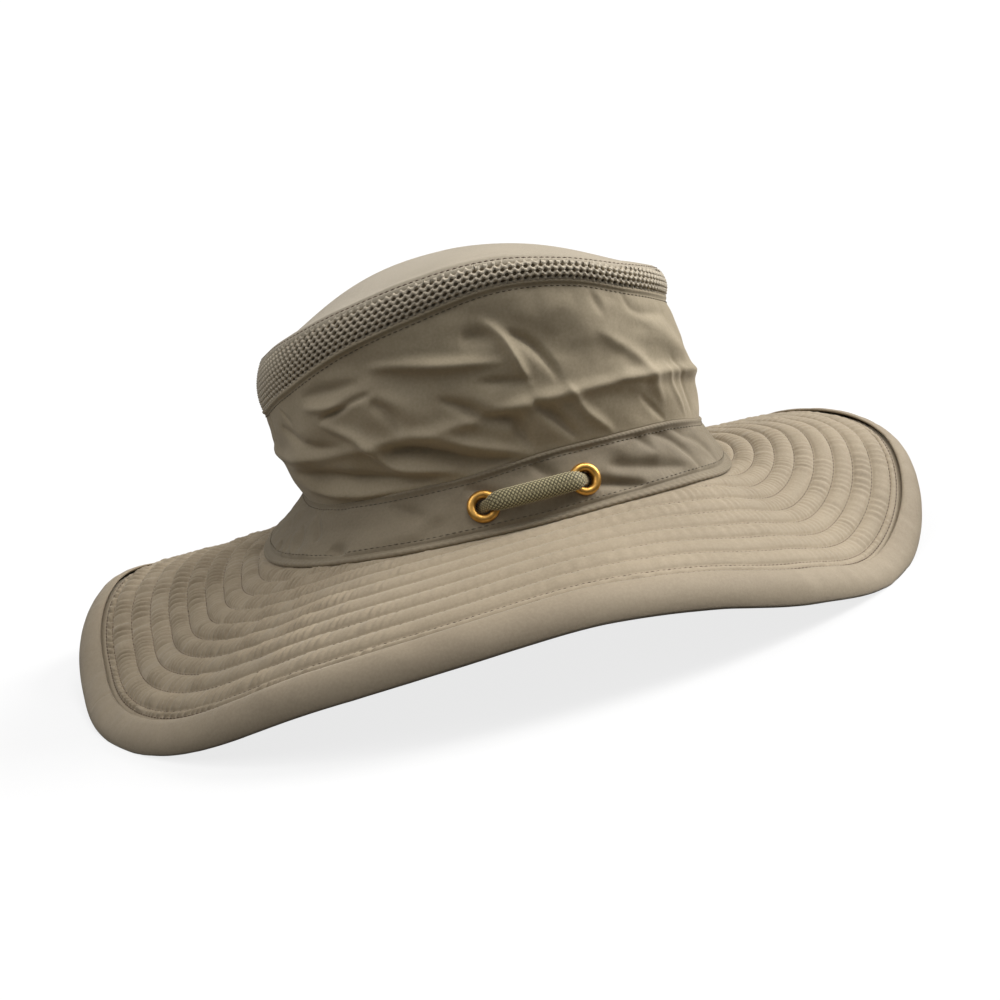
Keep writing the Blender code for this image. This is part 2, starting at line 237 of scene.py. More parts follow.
ORIGIN = find_origin()
CROWN = (
    (BASE_LENGTH, BASE_WIDTH, 0, "base"),
    (WAIST_LENGTH, WAIST_WIDTH, WAIST_SHIFT, "waist"),
    (VENT_FOOT_LENGTH, VENT_FOOT_WIDTH, VENT_FOOT_SHIFT, "vent_foot"),
    (VENT_HEAD_LENGTH, VENT_HEAD_WIDTH, VENT_HEAD_SHIFT, "vent_head"),
)
BAND, WALL, VENT = 0, 1, 2
BULGES = (0, WALL_BULGE, VENT_BULGE)


def crown_section(index, heading):
    length, width, shift, column = CROWN[index]
    here = plan(length, width, shift, heading)
    here[..., 2] = CROWN_HEIGHT * form(column, heading) + (BASE_LIFT if index == 0 else 0)
    return here


def strip_height(strip, heading):
    """Height of a strip of the crown along its cloth."""
    return length_of(crown_section(strip + 1, heading) - crown_section(strip, heading))


def crown_line(strip, share, heading):
    """Point of a strip's middle at a share of its height."""
    share = np.asarray(share)
    low, high = crown_section(strip, heading), crown_section(strip + 1, heading)
    inside = np.clip(share, 0, 1)
    bulge = BULGES[strip] * 4 * inside * (1 - inside)
    return low + (high - low) * share[..., None] + base_outward(heading) * bulge[..., None]


def crown_normal(strip, share, heading):
    along = crown_line(strip, share, heading + 0.5) - crown_line(strip, share, heading - 0.5)
    up = crown_line(strip, share + 0.01, heading) - crown_line(strip, share - 0.01, heading)
    return unit(np.cross(along, up))


def fold_push(heading, share):
    """How far the main folds move the wall outward."""
    push = 0
    for middle, height, length, rise, half, depth in FOLDS:
        along = np.mod(heading - middle + 180, 360) - 180
        across = share - height - rise * along / length
        push = push + depth * np.exp(-(along / length) ** 2 - (across / half) ** 2)
    inside = np.clip(share, 0, 1)
    return FOLD_DEPTH * push * 4 * inside * (1 - inside)


# Smooth noise
def chance(cell, lane, seed):
    """A fixed value between -1 and 1 for a cell of a lane."""
    value = np.sin(cell * 127.1 + lane * 311.7 + seed * 74.7) * 43758.5453
    return 2 * (value - np.floor(value)) - 1


def ease(t):
    return t * t * (3 - 2 * t)


def ripple(place, lane, seed, cells):
    """Noise along a closed line of cells, one line for each lane."""
    cell = np.floor(place)
    t = ease(place - cell)
    before, after = (chance(np.mod(cell + step, cells), lane, seed) for step in (0, 1))
    return (1 - t) * before + t * after


def mottle(x, y, seed, cells):
    """Noise over a surface that is closed along x."""
    lane = np.floor(y)
    t = ease(y - lane)
    return (1 - t) * ripple(x, lane, seed, cells) + t * ripple(x, lane + 1, seed, cells)


class Round:
    """Headings round a closed line, from the far side, shared out by its length times a weight."""

    def __init__(self, line, count, weight=None):
        self.fine = np.linspace(90, 450, 3601)
        self.middles = (self.fine[1:] + self.fine[:-1]) / 2
        steps = length_of(np.diff(line(self.fine), axis=0))
        self.run = running(steps)
        share = running(steps if weight is None else steps * weight(self.middles))
        self.heading = np.interp(np.arange(count) / count * share[-1], share, self.fine)
        self.length = self.run[-1]
        self.along = self.run_at(self.heading)

    def look_up(self, heading, values):
        return np.interp(90 + np.mod(heading - 90, 360), self.fine, values)

    def run_at(self, heading):
        return self.look_up(heading, self.run)

    def heading_at(self, run):
        return np.interp(np.mod(run, self.length), self.run, self.fine)

    def spaced(self, pitch):
        """Headings of stitches of that pitch."""
        count = int(self.length / pitch)
        return self.heading_at((np.arange(count) + 0.5) / count * self.length)

    def phase(self, heading, wave, times=1):
        """Waves counted from the far side, and their whole number.

        wave is their length, or a function that gives it for each heading.
        """
        counted = running(np.diff(self.run) / (wave(self.middles) if callable(wave) else wave))
        whole = times * round(counted[-1] / times)
        return self.look_up(heading, counted * (whole / counted[-1])), whole


# Meshes
COLLECTION = bpy.data.collections.new("sun_hat_looks")
bpy.context.scene.collection.children.link(COLLECTION)

# Rings of a stitch: place along it as a share of its length, then thickness and rise as shares of its radius
STITCH_RINGS = ((-0.5, 0.45, -0.6), (0, 1, 0), (0.5, 0.45, -0.6))


def new_mesh(name, points, faces, uvs=None):
    """Mesh of points and lists of corners, which may be three or four to a face."""
    mesh = bpy.data.meshes.new(name)
    mesh.vertices.add(len(points))
    mesh.vertices.foreach_set("co", np.asarray(points, np.float32).ravel())
    corners = np.concatenate([f.ravel() for f in faces]).astype(np.int32)
    counts = np.concatenate([np.full(len(f), f.shape[1]) for f in faces])
    mesh.loops.add(len(corners))
    mesh.loops.foreach_set("vertex_index", corners)
    mesh.polygons.add(len(counts))
    starts = np.concatenate([[0], np.cumsum(counts)[:-1]]).astype(np.int32)
    mesh.polygons.foreach_set("loop_start", starts)
    if uvs is not None:
        layer = mesh.uv_layers.new(name="UVMap")
        flat = np.concatenate([uv.reshape(-1, 2) for uv in uvs]).astype(np.float32)
        layer.uv.foreach_set("vector", flat.ravel())
    mesh.update(calc_edges=True)
    mesh.validate()
    mesh.shade_smooth()
    return mesh


def add_piece(name, mesh, look, slot, *replaced):
    piece = bpy.data.objects.new(name, mesh)
    COLLECTION.objects.link(piece)
    mesh.materials.append(look)
    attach(piece, "root")
    if replaced:
        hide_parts(*replaced)
    return piece


def woven_grid(points, along, across, length, closed=False, stops=None, drop=None):
    """Faces and UVs of rows of points closed round the columns.

    along holds each column's distance and across each point's, in metres. closed joins the last row
    to the first. stops gives for each column the last row in use, whose point the later rows share,
    and drop says which faces to leave out.
    """
    rows, count = points.shape[:2]
    row = np.arange(rows if closed else rows - 1)[:, None]
    column = np.arange(count)[None, :]
    above, beside = (row + 1) % rows, (column + 1) % count
    corners = ((row, column), (row, beside), (above, beside), (above, column))
    runs = (column, column + 1, column + 1, column)
    reach = np.append(along, along[0] + length)
    ids, uvs = [], []
    for (r, c), run in zip(corners, runs):
        r, c = np.broadcast_arrays(r, c)
        held = r if stops is None else np.minimum(r, stops[c])
        ids.append(held * count + c)
        uvs.append(np.stack([np.broadcast_to(reach[run], r.shape), across[held, c]], axis=-1))
    ids = np.stack(ids, axis=-1).reshape(-1, 4)
    uvs = np.stack(uvs, axis=-2).reshape(-1, 4, 2)
    keep = np.ones(len(ids), bool) if drop is None else ~drop.ravel()
    left = (ids[:, 0] != ids[:, 3]) & keep
    right = (ids[:, 1] != ids[:, 2]) & keep
    faces, maps = [ids[left & right]], [uvs[left & right]]
    for chosen, pick in ((left & ~right, (0, 1, 3)), (right & ~left, (0, 1, 2))):
        faces.append(ids[chosen][:, pick])
        maps.append(uvs[chosen][:, pick])
    return faces, maps


def without_loose(points, faces):
    """Leaves out the points that no face uses."""
    used = np.unique(np.concatenate([f.ravel() for f in faces]))
    place = np.full(len(points), -1)
    place[used] = np.arange(len(used))
    return points[used], [place[f] for f in faces]


def cloth_mesh(name, points, along, across, length, **options):
    faces, uvs = woven_grid(points, along, across, length, **options)
    return new_mesh(name, *without_loose(points.reshape(-1, 3) + ORIGIN, faces), uvs)


def stitches(name, middle, along, normal, length, radius, sides=5):
    """Short threads, thickest at their middles, as one mesh of rings and end caps."""
    along, normal = unit(along), unit(normal)
    across = np.cross(along, normal)
    turns = circle(sides)
    ring = across[:, None] * np.cos(turns) + normal[:, None] * np.sin(turns)
    rings = []
    for place, thick, rise in STITCH_RINGS:
        core = middle + along * place * length + normal * rise * radius
        rings.append(core[:, None] + ring * radius * thick)
    points = np.stack(rings, axis=1)
    start = (np.arange(len(middle)) * len(STITCH_RINGS) * sides)[:, None, None]
    lower = start + np.arange(len(STITCH_RINGS) - 1)[None, :, None] * sides
    upper = lower + sides
    k = np.arange(sides)[None, None, :]
    j = (k + 1) % sides
    quads = np.stack([lower + k, upper + k, upper + j, lower + j], axis=-1)
    caps = [start[:, 0] + k[0], start[:, 0] + (len(STITCH_RINGS) - 1) * sides + k[0, :, ::-1]]
    return new_mesh(name, points.reshape(-1, 3) + ORIGIN, [quads.reshape(-1, 4)] + caps)


# Materials
CLOUD_SCALE, GRAIN_SCALE, CRUMPLE_SCALE = 22, 900, 260
FIBRE_SCALE, WEAR_SCALE = 2600, 420
WEAVE_BUMP, CRUMPLE_BUMP, FIBRE_BUMP = 0.04 * MM, 0.5 * MM, 0.08 * MM


def connect(tree, node, inputs):
    """Sets inputs of a node to values, or links them to the outputs given for them."""
    for name, value in inputs.items():
        if isinstance(value, bpy.types.NodeSocket):
            tree.links.new(value, node.inputs[name])
        else:
            node.inputs[name].default_value = value


def add_node(tree, kind, inputs=None, **settings):
    made = tree.nodes.new(kind)
    for key, value in settings.items():
        setattr(made, key, value)
    connect(tree, made, inputs or {})
    return made


def noise(tree, where, scale, detail=2.0):
    inputs = {"Vector": where["Object"], "Scale": scale, "Detail": detail}
    return add_node(tree, "ShaderNodeTexNoise", inputs).outputs["Fac"]


def remap(tree, value, low, high, to_low, to_high):
    inputs = {"Value": value, "From Min": low, "From Max": high, "To Min": to_low, "To Max": to_high}
    return add_node(tree, "ShaderNodeMapRange", inputs).outputs["Result"]


def calculate(tree, operation, first, second=0.0):
    return add_node(tree, "ShaderNodeMath", {0: first, 1: second}, operation=operation).outputs["Value"]


def mix(tree, dark, light, factor):
    inputs = {"A": (*dark, 1), "B": (*light, 1), "Factor": factor}
    return add_node(tree, "ShaderNodeMix", inputs, data_type="RGBA").outputs["Result"]


def bump(tree, height, strength, distance, under=None):
    inputs = {"Height": height, "Strength": strength, "Distance": distance}
    if under:
        inputs["Normal"] = under
    return add_node(tree, "ShaderNodeBump", inputs).outputs["Normal"]


def threads(tree, where, pitch):
    """Height of a plain weave of that pitch over the cloth's UVs."""
    split = add_node(tree, "ShaderNodeSeparateXYZ", {"Vector": where["UV"]})
    waves = [calculate(tree, "SINE", calculate(tree, "MULTIPLY", split.outputs[axis], 2 * pi / pitch))
             for axis in ("X", "Y")]
    return calculate(tree, "MULTIPLY", *waves)


def start_look(name):
    """A new material, its tree, its shader and the coordinates to place patterns by."""
    made = bpy.data.materials.new(name)
    made.use_nodes = True
    tree = made.node_tree
    return made, tree, tree.nodes["Principled BSDF"], add_node(tree, "ShaderNodeTexCoord").outputs


def finish_cloth(tree, shader, colour, normal, roughness, sheen):
    connect(tree, shader, {
        "Base Color": colour, "Normal": normal, "Roughness": roughness, "Specular IOR Level": 0.35,
        "Sheen Weight": sheen, "Sheen Roughness": 0.45, "Sheen Tint": (1.0, 0.95, 0.86, 1)})


def cloth_look(name, light, dark, pitch=0.45 * MM, roughness=0.7, sheen=0.25):
    """Fine nylon: a weave, soft mottling between two colours, and small crumples."""
    made, tree, shader, where = start_look(name)
    clouds = remap(tree, noise(tree, where, CLOUD_SCALE), 0.35, 0.65, -0.3, 0.3)
    grain = remap(tree, noise(tree, where, GRAIN_SCALE), 0.3, 0.7, 0.2, 0.8)
    colour = mix(tree, dark, light, calculate(tree, "ADD", clouds, grain))
    weave = bump(tree, threads(tree, where, pitch), 0.5, WEAVE_BUMP)
    crumples = bump(tree, noise(tree, where, CRUMPLE_SCALE), 0.25, CRUMPLE_BUMP, weave)
    finish_cloth(tree, shader, colour, crumples, roughness, sheen)
    return made


def braid_look(name, light, dark):
    """Painted highlight dashes on the braid's crests, painted shade in its gaps, in step with the cord's own
    ridges.
    """
    made, tree, shader, where = start_look(name)
    split = add_node(tree, "ShaderNodeSeparateXYZ", {"Vector": where["UV"]})
    run, turn = split.outputs["X"], split.outputs["Y"]
    ways = [calculate(tree, "SINE", calculate(tree, "ADD", turn, calculate(tree, "MULTIPLY", run, way)))
            for way in (1, -1)]
    ridges = calculate(tree, "ABSOLUTE", calculate(tree, "MULTIPLY", *ways))
    fibres = noise(tree, where, FIBRE_SCALE)
    # Painted light: the colour is lighter on the crests of the strands and darker in the gaps between them.
    painted_crest_highlight = remap(tree, ridges, 0.25, 0.85, 0, 1)
    frayed = remap(tree, fibres, 0.3, 0.7, -0.2, 0.2)
    colour = mix(tree, dark, light, calculate(tree, "ADD", painted_crest_highlight, frayed))
    finish_cloth(tree, shader, colour, bump(tree, fibres, 0.5, FIBRE_BUMP), 0.6, 0.3)
    return made


def metal_look(name, light, dark):
    """Brass with a slightly uneven polish."""
    made, tree, shader, where = start_look(name)
    worn = noise(tree, where, WEAR_SCALE, 3.0)
    colour = mix(tree, dark, light, remap(tree, worn, 0.3, 0.6, 0, 1))
    roughness = remap(tree, worn, 0.3, 0.7, 0.46, 0.32)
    connect(tree, shader, {"Metallic": 1.0, "Base Color": colour, "Roughness": roughness})
    return made


NYLON = cloth_look("nylon", (0.465, 0.385, 0.265), (0.38, 0.315, 0.21))
# Paler, less yellow copy of the same nylon for the top: painted sheen where the top catches the light.
TOP_NYLON_PAINTED_SHEEN = cloth_look("top_nylon", (0.46, 0.395, 0.30), (0.39, 0.335, 0.25))
# Darker copy of the same nylon for the brim: painted shade of its quilting.
BRIM_NYLON_PAINTED_SHADE = cloth_look("brim_nylon", (0.40, 0.325, 0.226), (0.325, 0.262, 0.178))
# Darker copy of the same nylon for the binding: painted shade of the hem that faces away from the light.
BINDING_NYLON_PAINTED_SHADE = cloth_look("binding_nylon", (0.375, 0.306, 0.215), (0.307, 0.248, 0.172))
# Much darker copy of the same nylon for the band: painted shade under the wall's overhang.
BAND_NYLON_PAINTED_SHADE = cloth_look("band_nylon", (0.275, 0.225, 0.152), (0.222, 0.18, 0.12))
BACKING = cloth_look("vent_backing", (0.36, 0.30, 0.21), (0.27, 0.22, 0.155), roughness=0.9, sheen=0.1)
KNIT = cloth_look("vent_knit", (0.64, 0.56, 0.43), (0.54, 0.47, 0.36), pitch=0.3 * MM, roughness=0.6)
# Both threads are partly their own dark colour and partly painted shade of the grooves and stitch holes they
# sit in.
THREAD_WITH_PAINTED_SHADE = cloth_look("thread", (0.15, 0.098, 0.06), (0.09, 0.058, 0.034), pitch=0.3 * MM, roughness=0.55)
SEAM_THREAD_WITH_PAINTED_SHADE = cloth_look("seam_thread", (0.16, 0.13, 0.085), (0.10, 0.08, 0.05), pitch=0.3 * MM,
                         roughness=0.6)
# Braid colours: the light one is painted highlight on the crests, the dark one painted shade in the gaps.
BRAID_PAINTED_LIGHT_AND_SHADE = braid_look("cord_braid", (0.52, 0.45, 0.25), (0.09, 0.076, 0.037))
BRASS = metal_look("eyelet_brass", (0.82, 0.46, 0.12), (0.60, 0.31, 0.07))

# Brim
BRIM_COLUMNS, UNDER_COLUMNS = 1160, 700
PUCKER_RANGE, COLUMN_WEIGHTS = (0.3, 0.9), (0.55, 2.1)
TOP_STEPS, UNDER_STEPS = (0, 0.07, 0.2, 0.38, 0.58, 0.78, 0.93), (0, 0.12, 0.5, 0.88)
CLOTH_EDGE = BINDING_SLACK + BINDING_EASE + 1.2 * MM
HEM_ROWS = [CLOTH_EDGE, CLOTH_EDGE + 0.3 * MM, 9 * MM, 13 * MM, 15.2 * MM]
RING_SHARE = 0.6
GROOVE_LIFT, PUFF_RISE, PUFF_POWER, HEM_PUFF = 0.4 * MM, 1.75 * MM, 0.6, 0.35
PRESSED_LIFT, PRESSED_WIDTH, PRESSED_FADE = 0.9 * MM, 4 * MM, 2.5 * MM
EDGE_DROOP, DROOP_REACH, DROOP_CLEARANCE = 4.6 * MM, 17 * MM, 9 * MM
STITCH_PITCH, STITCH_LENGTH, STITCH_RADIUS, STITCH_MARGIN = 2.5 * MM, 1.9 * MM, 0.3 * MM, 3.2 * MM
STITCH_LIFT = GROOVE_LIFT + 0.7 * STITCH_RADIUS

# Pleats of the puckers: how far they drift, how uneven they are from one to the next and over long
# stretches, between which sizes, and the share of plain ripples. Their number is a multiple of PLEAT_REPEAT,
# so that slower waves close too. At the stitch rows the puckers keep only PUCKER_FOOT of their height
PLEAT_DRIFT, PLEAT_UNEVEN, PLEAT_LULLS, PLAIN_RIPPLES = 0.6, 0.65, 0.4, 0.55
PLEAT_MEAN, PLEAT_SIZES = 0.75, (0.05, 1.7)
PLEAT_REPEAT, LULL_WAVES = 18, 9
PUCKER_FOOT, PUCKER_POWER = 0.10, 0.7


def brim_density(heading):
    """Finer columns where the brim is puckered."""
    return np.interp(sample(PUCKERS, 1, heading), PUCKER_RANGE, COLUMN_WEIGHTS)


def quilt_place(inward):
    """Channel of a distance inward, and the share across it."""
    channel = np.clip(np.searchsorted(ROWS, inward, side="right") - 1, 0, len(ROWS) - 2)
    share = (inward - ROWS[channel]) / (ROWS[channel + 1] - ROWS[channel])
    return channel, np.clip(share, 0, 1)


def quilt_lift(ring, heading, inward):
    """Lift of the quilted cloth: puffs between the stitch rows, with puckers across them."""
    channel, share = quilt_place(inward)
    arch = np.sin(pi * share)
    puff = PUFF_RISE * np.where(channel == 0, HEM_PUFF, 1.0) * arch ** PUFF_POWER
    place, cells = ring.phase(heading, lambda h: sample(PUCKERS, 2, h) * MM, PLEAT_REPEAT)
    shifted = place + sample(PUCKERS, 3, heading) / sample(PUCKERS, 2, heading) * (share - 0.5)
    shifted = shifted + PLEAT_DRIFT * ripple(shifted / 2, channel, 1, cells / 2) + chance(channel, 0, 4)
    pleats = 2 * np.abs(np.sin(pi * shifted)) - 1
    uneven = PLEAT_MEAN + PLEAT_UNEVEN * ripple(place / 2, channel, 2, cells / 2)
    uneven = uneven + PLEAT_LULLS * mottle(place / LULL_WAVES, channel / 2, 3, cells / LULL_WAVES)
    wave = pleats * np.clip(uneven, *PLEAT_SIZES) + PLAIN_RIPPLES * ripple(place / 2, channel, 5, cells / 2)
    height = sample(PUCKERS, 1, heading) * MM * (PUCKER_FOOT + (1 - PUCKER_FOOT) * arch ** PUCKER_POWER)
    quilted = np.clip((inward - ROWS[0]) / MM, 0, 1)
    pressed = np.clip((inward - brim_size(heading) + PRESSED_WIDTH) / PRESSED_FADE, 0, 1)
    lift = GROOVE_LIFT + (puff + wave * height) * quilted
    return lift + (PRESSED_LIFT - lift) * pressed


def edge_droop(heading, inward):
    """How far the brim's bound edge curls down, which fades out where the brim is near the floor."""
    edge = from_edge(heading, 0, np.full_like(heading, -BINDING_HALF))
    above = np.maximum(edge[..., 2] + ORIGIN[2], 0)
    near_edge = np.clip(1 - inward / DROOP_REACH, 0, 1) ** 2
    return -EDGE_DROOP * (1 - np.exp(-above / DROOP_CLEARANCE)) * near_edge


def brim_rows(steps):
    """Distances inward of the cloth's rows of points, with some steps across each channel."""
    quilt = [ROWS[k] + (ROWS[k + 1] - ROWS[k]) * step for k in range(len(ROWS) - 1) for step in steps]
    return np.array(HEM_ROWS + quilt)


def brim_flat():
    """Flat width and length of the brim's cloth, and its area without the hole for the head."""
    width, length = (brim_size(np.array(pair)).sum() for pair in ((90.0, 270.0), (0.0, 180.0)))
    even = np.linspace(0, 360, 721)
    rings = [length_of(np.diff(brim_point(even, brim_size(even) * share, 0 * even), axis=0)).sum()
             for share in np.linspace(0.05, 0.95, 10)]
    return BASE_WIDTH + width, BASE_LENGTH + length, float(np.mean(rings) * brim_size(even).mean())


def quilted_side(name, side, count, steps):
    """One side of the brim, from inside the binding to under the band; side is 1 on top and -1 below."""
    ring = Round(lambda h: brim_point(h, brim_size(h) * RING_SHARE, 0 * h), count, brim_density)
    limit = brim_size(ring.heading) + BRIM_TUCK
    rows = brim_rows(steps)
    rows = rows[rows < limit.max() + ROW_SPACING]
    inward = np.minimum(rows[:, None], limit)
    heading = np.broadcast_to(ring.heading, inward.shape)
    ended = inward >= limit - 1e-9
    lift = quilt_lift(ring, heading, inward)
    lift[0] = 0
    lift[ended] = 0
    points = from_edge(heading, inward, side * lift + edge_droop(heading, inward))
    stops = np.minimum((~ended).sum(axis=0), len(rows) - 1)
    mesh = cloth_mesh(name, points, ring.along, inward, ring.length, stops=stops)
    if side < 0:
        mesh.flip_normals()
    piece = add_piece(name, mesh, BRIM_NYLON_PAINTED_SHADE, "brim_nylon", "brim")
    width, length, area = brim_flat()
    declare_cloth(piece, width, length)


def row_stitches(side):
    """Middles, directions and normals of the threads along the quilting rows, on one side of the brim."""
    found = []
    for row in ROWS:
        heading = Round(lambda h: from_edge(h, row, 0 * h), 8).spaced(STITCH_PITCH)
        heading = heading[brim_size(heading) - row > STITCH_MARGIN]
        lift = np.full_like(heading, side * STITCH_LIFT)
        here, ahead = from_edge(heading, row, lift), from_edge(heading + 0.1, row, lift)
        found.append((here, ahead - here, here - from_edge(heading, row, lift - side * MM)))
    return [np.concatenate(part) for part in zip(*found)]


def add_brim():
    quilted_side("brim_top_cloth", 1, BRIM_COLUMNS, TOP_STEPS)
    quilted_side("brim_under_cloth", -1, UNDER_COLUMNS, UNDER_STEPS)
    for name, side, sides in (("brim_top_stitches", 1, 4), ("brim_under_stitches", -1, 3)):
        mesh = stitches(name, *row_stitches(side), STITCH_LENGTH, STITCH_RADIUS, sides)
        add_piece(name, mesh, THREAD_WITH_PAINTED_SHADE, "brim_nylon")


# Binding: distance inward and lift of the folded tape's section, in mm
BINDING_SECTION = np.array((
    (14.1, 1.72), (14.45, 2.05), (14.25, 2.5), (13.4, 2.82), (11.5, 3.05), (9.0, 3.1), (6.5, 2.8),
    (4.4, 2.2), (2.7, 1.4), (1.3, 0.4), (0.4, -0.6), (0.05, -1.3), (0.3, -2.0), (1.1, -2.5), (2.8, -2.75),
    (5.0, -2.8), (9.0, -2.8), (13.2, -2.8), (14.3, -2.55), (14.45, -2.15), (14.1, -1.75), (9.0, -1.74),
    (5.2, -1.7), (4.4, -1.1), (4.2, 0.0), (4.4, 0.8), (5.2, 1.4), (9.0, 1.72))) * MM
BINDING_COLUMNS = 1100
TAPE_FACE, TAPE_REACH, RIPPLE_LENGTH = 1.8 * MM, 14.6 * MM, 5 * MM
JOINT_HEADING, JOINT_MIDDLE, JOINT_SLANT = 187.0, 7 * MM, 0.35
JOINT_DIP, JOINT_DIP_WIDTH = 0.7 * MM, 0.7 * MM
JOINT_SWELL, JOINT_SWELL_WIDTH, JOINT_SWELL_PLACE = 0.35 * MM, 2.5 * MM, 3 * MM
FLOOR_CLEARANCE = 0.02 * MM

# Ripples of the binding: heading, height in mm and length along the edge in mm
BINDING_RIPPLES = np.array((
    (0, 0.25, 9.0), (60, 0.14, 12.0), (120, 0.16, 12.0), (165, 0.30, 9.0), (200, 0.42, 9.0),
    (225, 0.34, 11.0), (250, 0.18, 14.0), (290, 0.16, 14.0), (318, 0.40, 7.0), (335, 0.36, 7.0)))


def add_binding():
    """Folded tape round the brim, with its ends butted at the left and pressed flat on the floor."""
    ring = Round(lambda h: from_edge(h, 0, 0 * h), BINDING_COLUMNS, brim_density)
    heading = np.broadcast_to(ring.heading, (len(BINDING_SECTION), BINDING_COLUMNS))
    inward, lift = (np.broadcast_to(part[:, None], heading.shape) for part in BINDING_SECTION.T)
    outer = np.clip((np.abs(lift) - TAPE_FACE) / MM, 0, 1) * np.clip((TAPE_REACH - inward) / MM, 0, 1)
    place, cells = ring.phase(heading, lambda h: sample(BINDING_RIPPLES, 2, h) * MM)
    side, slant = np.where(lift > 0, 0, 5), inward / RIPPLE_LENGTH
    wave = ripple(place + 0.25 * slant, side, 11, cells)
    wave = wave + 0.5 * ripple(2 * place - 0.5 * slant, side + 1, 12, 2 * cells)
    joint = ring.run_at(heading) - ring.run_at(JOINT_HEADING) - JOINT_SLANT * (inward - JOINT_MIDDLE)
    dip = JOINT_DIP * np.exp(-(joint / JOINT_DIP_WIDTH) ** 2)
    swell = JOINT_SWELL * np.exp(-((joint - JOINT_SWELL_PLACE) / JOINT_SWELL_WIDTH) ** 2)
    push = outer * (wave * sample(BINDING_RIPPLES, 1, heading) * MM - dip + swell)
    points = from_edge(heading, inward, lift + np.sign(lift) * push + edge_droop(heading, inward))
    points[..., 2] = np.maximum(points[..., 2], FLOOR_CLEARANCE - ORIGIN[2])
    section = running(length_of(np.diff(BINDING_SECTION, axis=0)))
    across = np.broadcast_to(section[:, None], heading.shape)
    mesh = cloth_mesh("binding_tape", points[::-1], ring.along, across[::-1], ring.length, closed=True)
    mesh.flip_normals()
    piece = add_piece("binding_tape", mesh, BINDING_NYLON_PAINTED_SHADE, "binding_nylon", "brim_binding")
    declare_cloth(piece, 2 * BINDING_WIDTH + 2 * BINDING_HALF, ring.length)


# Crown strips
FACE = WALL_CLOTH / 2
DENT_PITCH, DENT_SLANT, DENT_DEPTH = 2.3 * MM, 0.8, 0.16 * MM
THREAD_PITCH, THREAD_LIFT, THREAD_RADIUS = 2.6 * MM, FACE + 0.12 * MM, 0.26 * MM
THREAD_SHARE, TOP_THREAD_SHARE = 0.72, 0.8
PIPING, PIPING_PITCH, PIPING_OUT, PIPING_SINK = 1.05 * MM, 3.1 * MM, 0.7 * MM, 0.05 * MM
PIPING_DENT, PIPING_SLANT = 0.10, 1.6
EYELET_HOLE = EYELET_BORE + 0.6 * MM
CREASE_GAIN, CREASE_WIDTH, CREASE_FALL, CREASE_ENDS = 2.3, 1.3, 1.8, 0.12
BAND_COLUMNS, WALL_COLUMNS, NEAR_WEIGHT = 880, 740, 1.8
BAND_SOFT, BAND_WAVE, BAND_WAVE_HEIGHT = 0.9 * MM, 9 * MM, 7 * MM
WALL_SOFT, WALL_WAVE, WALL_WAVE_HEIGHT = 0.65 * MM, 16 * MM, 12 * MM
FINE_SHARE, FINE_WAVES, FINE_HEIGHT = 0.35, 2.6, 5 * MM
GATHER_HEIGHT, GATHER_WAVE, GATHER_REACH = 0.30 * MM, 2.5 * MM, 4 * MM

# Gathers at the band's foot: heading and strength
GATHERS = np.array(((0, 0.3), (180, 0.6), (195, 0.3), (255, 0.3), (265, 1.0), (335, 1.0)))


def roll(middle_rise, middle_lift, radius, first, last, count):
    """Section points round a rolled edge, from one angle to another in degrees."""
    turns = np.radians(np.linspace(first, last, count))
    return np.stack([middle_rise + radius * np.sin(turns), middle_lift + radius * np.cos(turns)], axis=-1)


def smooth_line(knots, steps):
    """Points of a Catmull-Rom curve through the knots, with some steps from each to the next."""
    ends = np.vstack([2 * knots[0] - knots[1], knots, 2 * knots[-1] - knots[-2]])
    place = np.linspace(0, len(knots) - 1, steps * (len(knots) - 1) + 1)
    k = np.minimum(place.astype(int), len(knots) - 2)
    t = (place - k)[:, None]
    return curve_between(*(ends[k + i] for i in range(4)), t)


def crease(ring, strip, heading, rise, lines):
    """Lift from folds along lines: half width and depth in mm, then headings and shares of height."""
    along = ring.run_at(heading)
    lift = np.zeros_like(along)
    for half, depth, *knots in lines:
        turns, shares = np.array(knots).T
        line = smooth_line(np.stack([ring.run_at(turns), shares * strip_height(strip, turns)], axis=-1), 5)
        steps = length_of(np.diff(line, axis=0))
        gap, place = np.ones_like(along), np.zeros_like(along)
        for k, step in enumerate(steps):
            du, dv = (line[k + 1] - line[k]) / step
            held = np.clip((along - line[k, 0]) * du + (rise - line[k, 1]) * dv, 0, step)
            apart = np.hypot(along - line[k, 0] - held * du, rise - line[k, 1] - held * dv)
            place = np.where(apart < gap, (steps[:k].sum() + held) / steps.sum(), place)
            gap = np.minimum(gap, apart)
        swell = np.sin(pi * np.clip(place, 0.001, 0.999))
        wide = half * CREASE_WIDTH * MM * (0.7 + 0.3 * swell)
        deep = depth * CREASE_GAIN * MM * (CREASE_ENDS + (1 - CREASE_ENDS) * swell ** 0.7)
        lift += deep * np.exp(-(gap / wide) ** CREASE_FALL)
    return lift


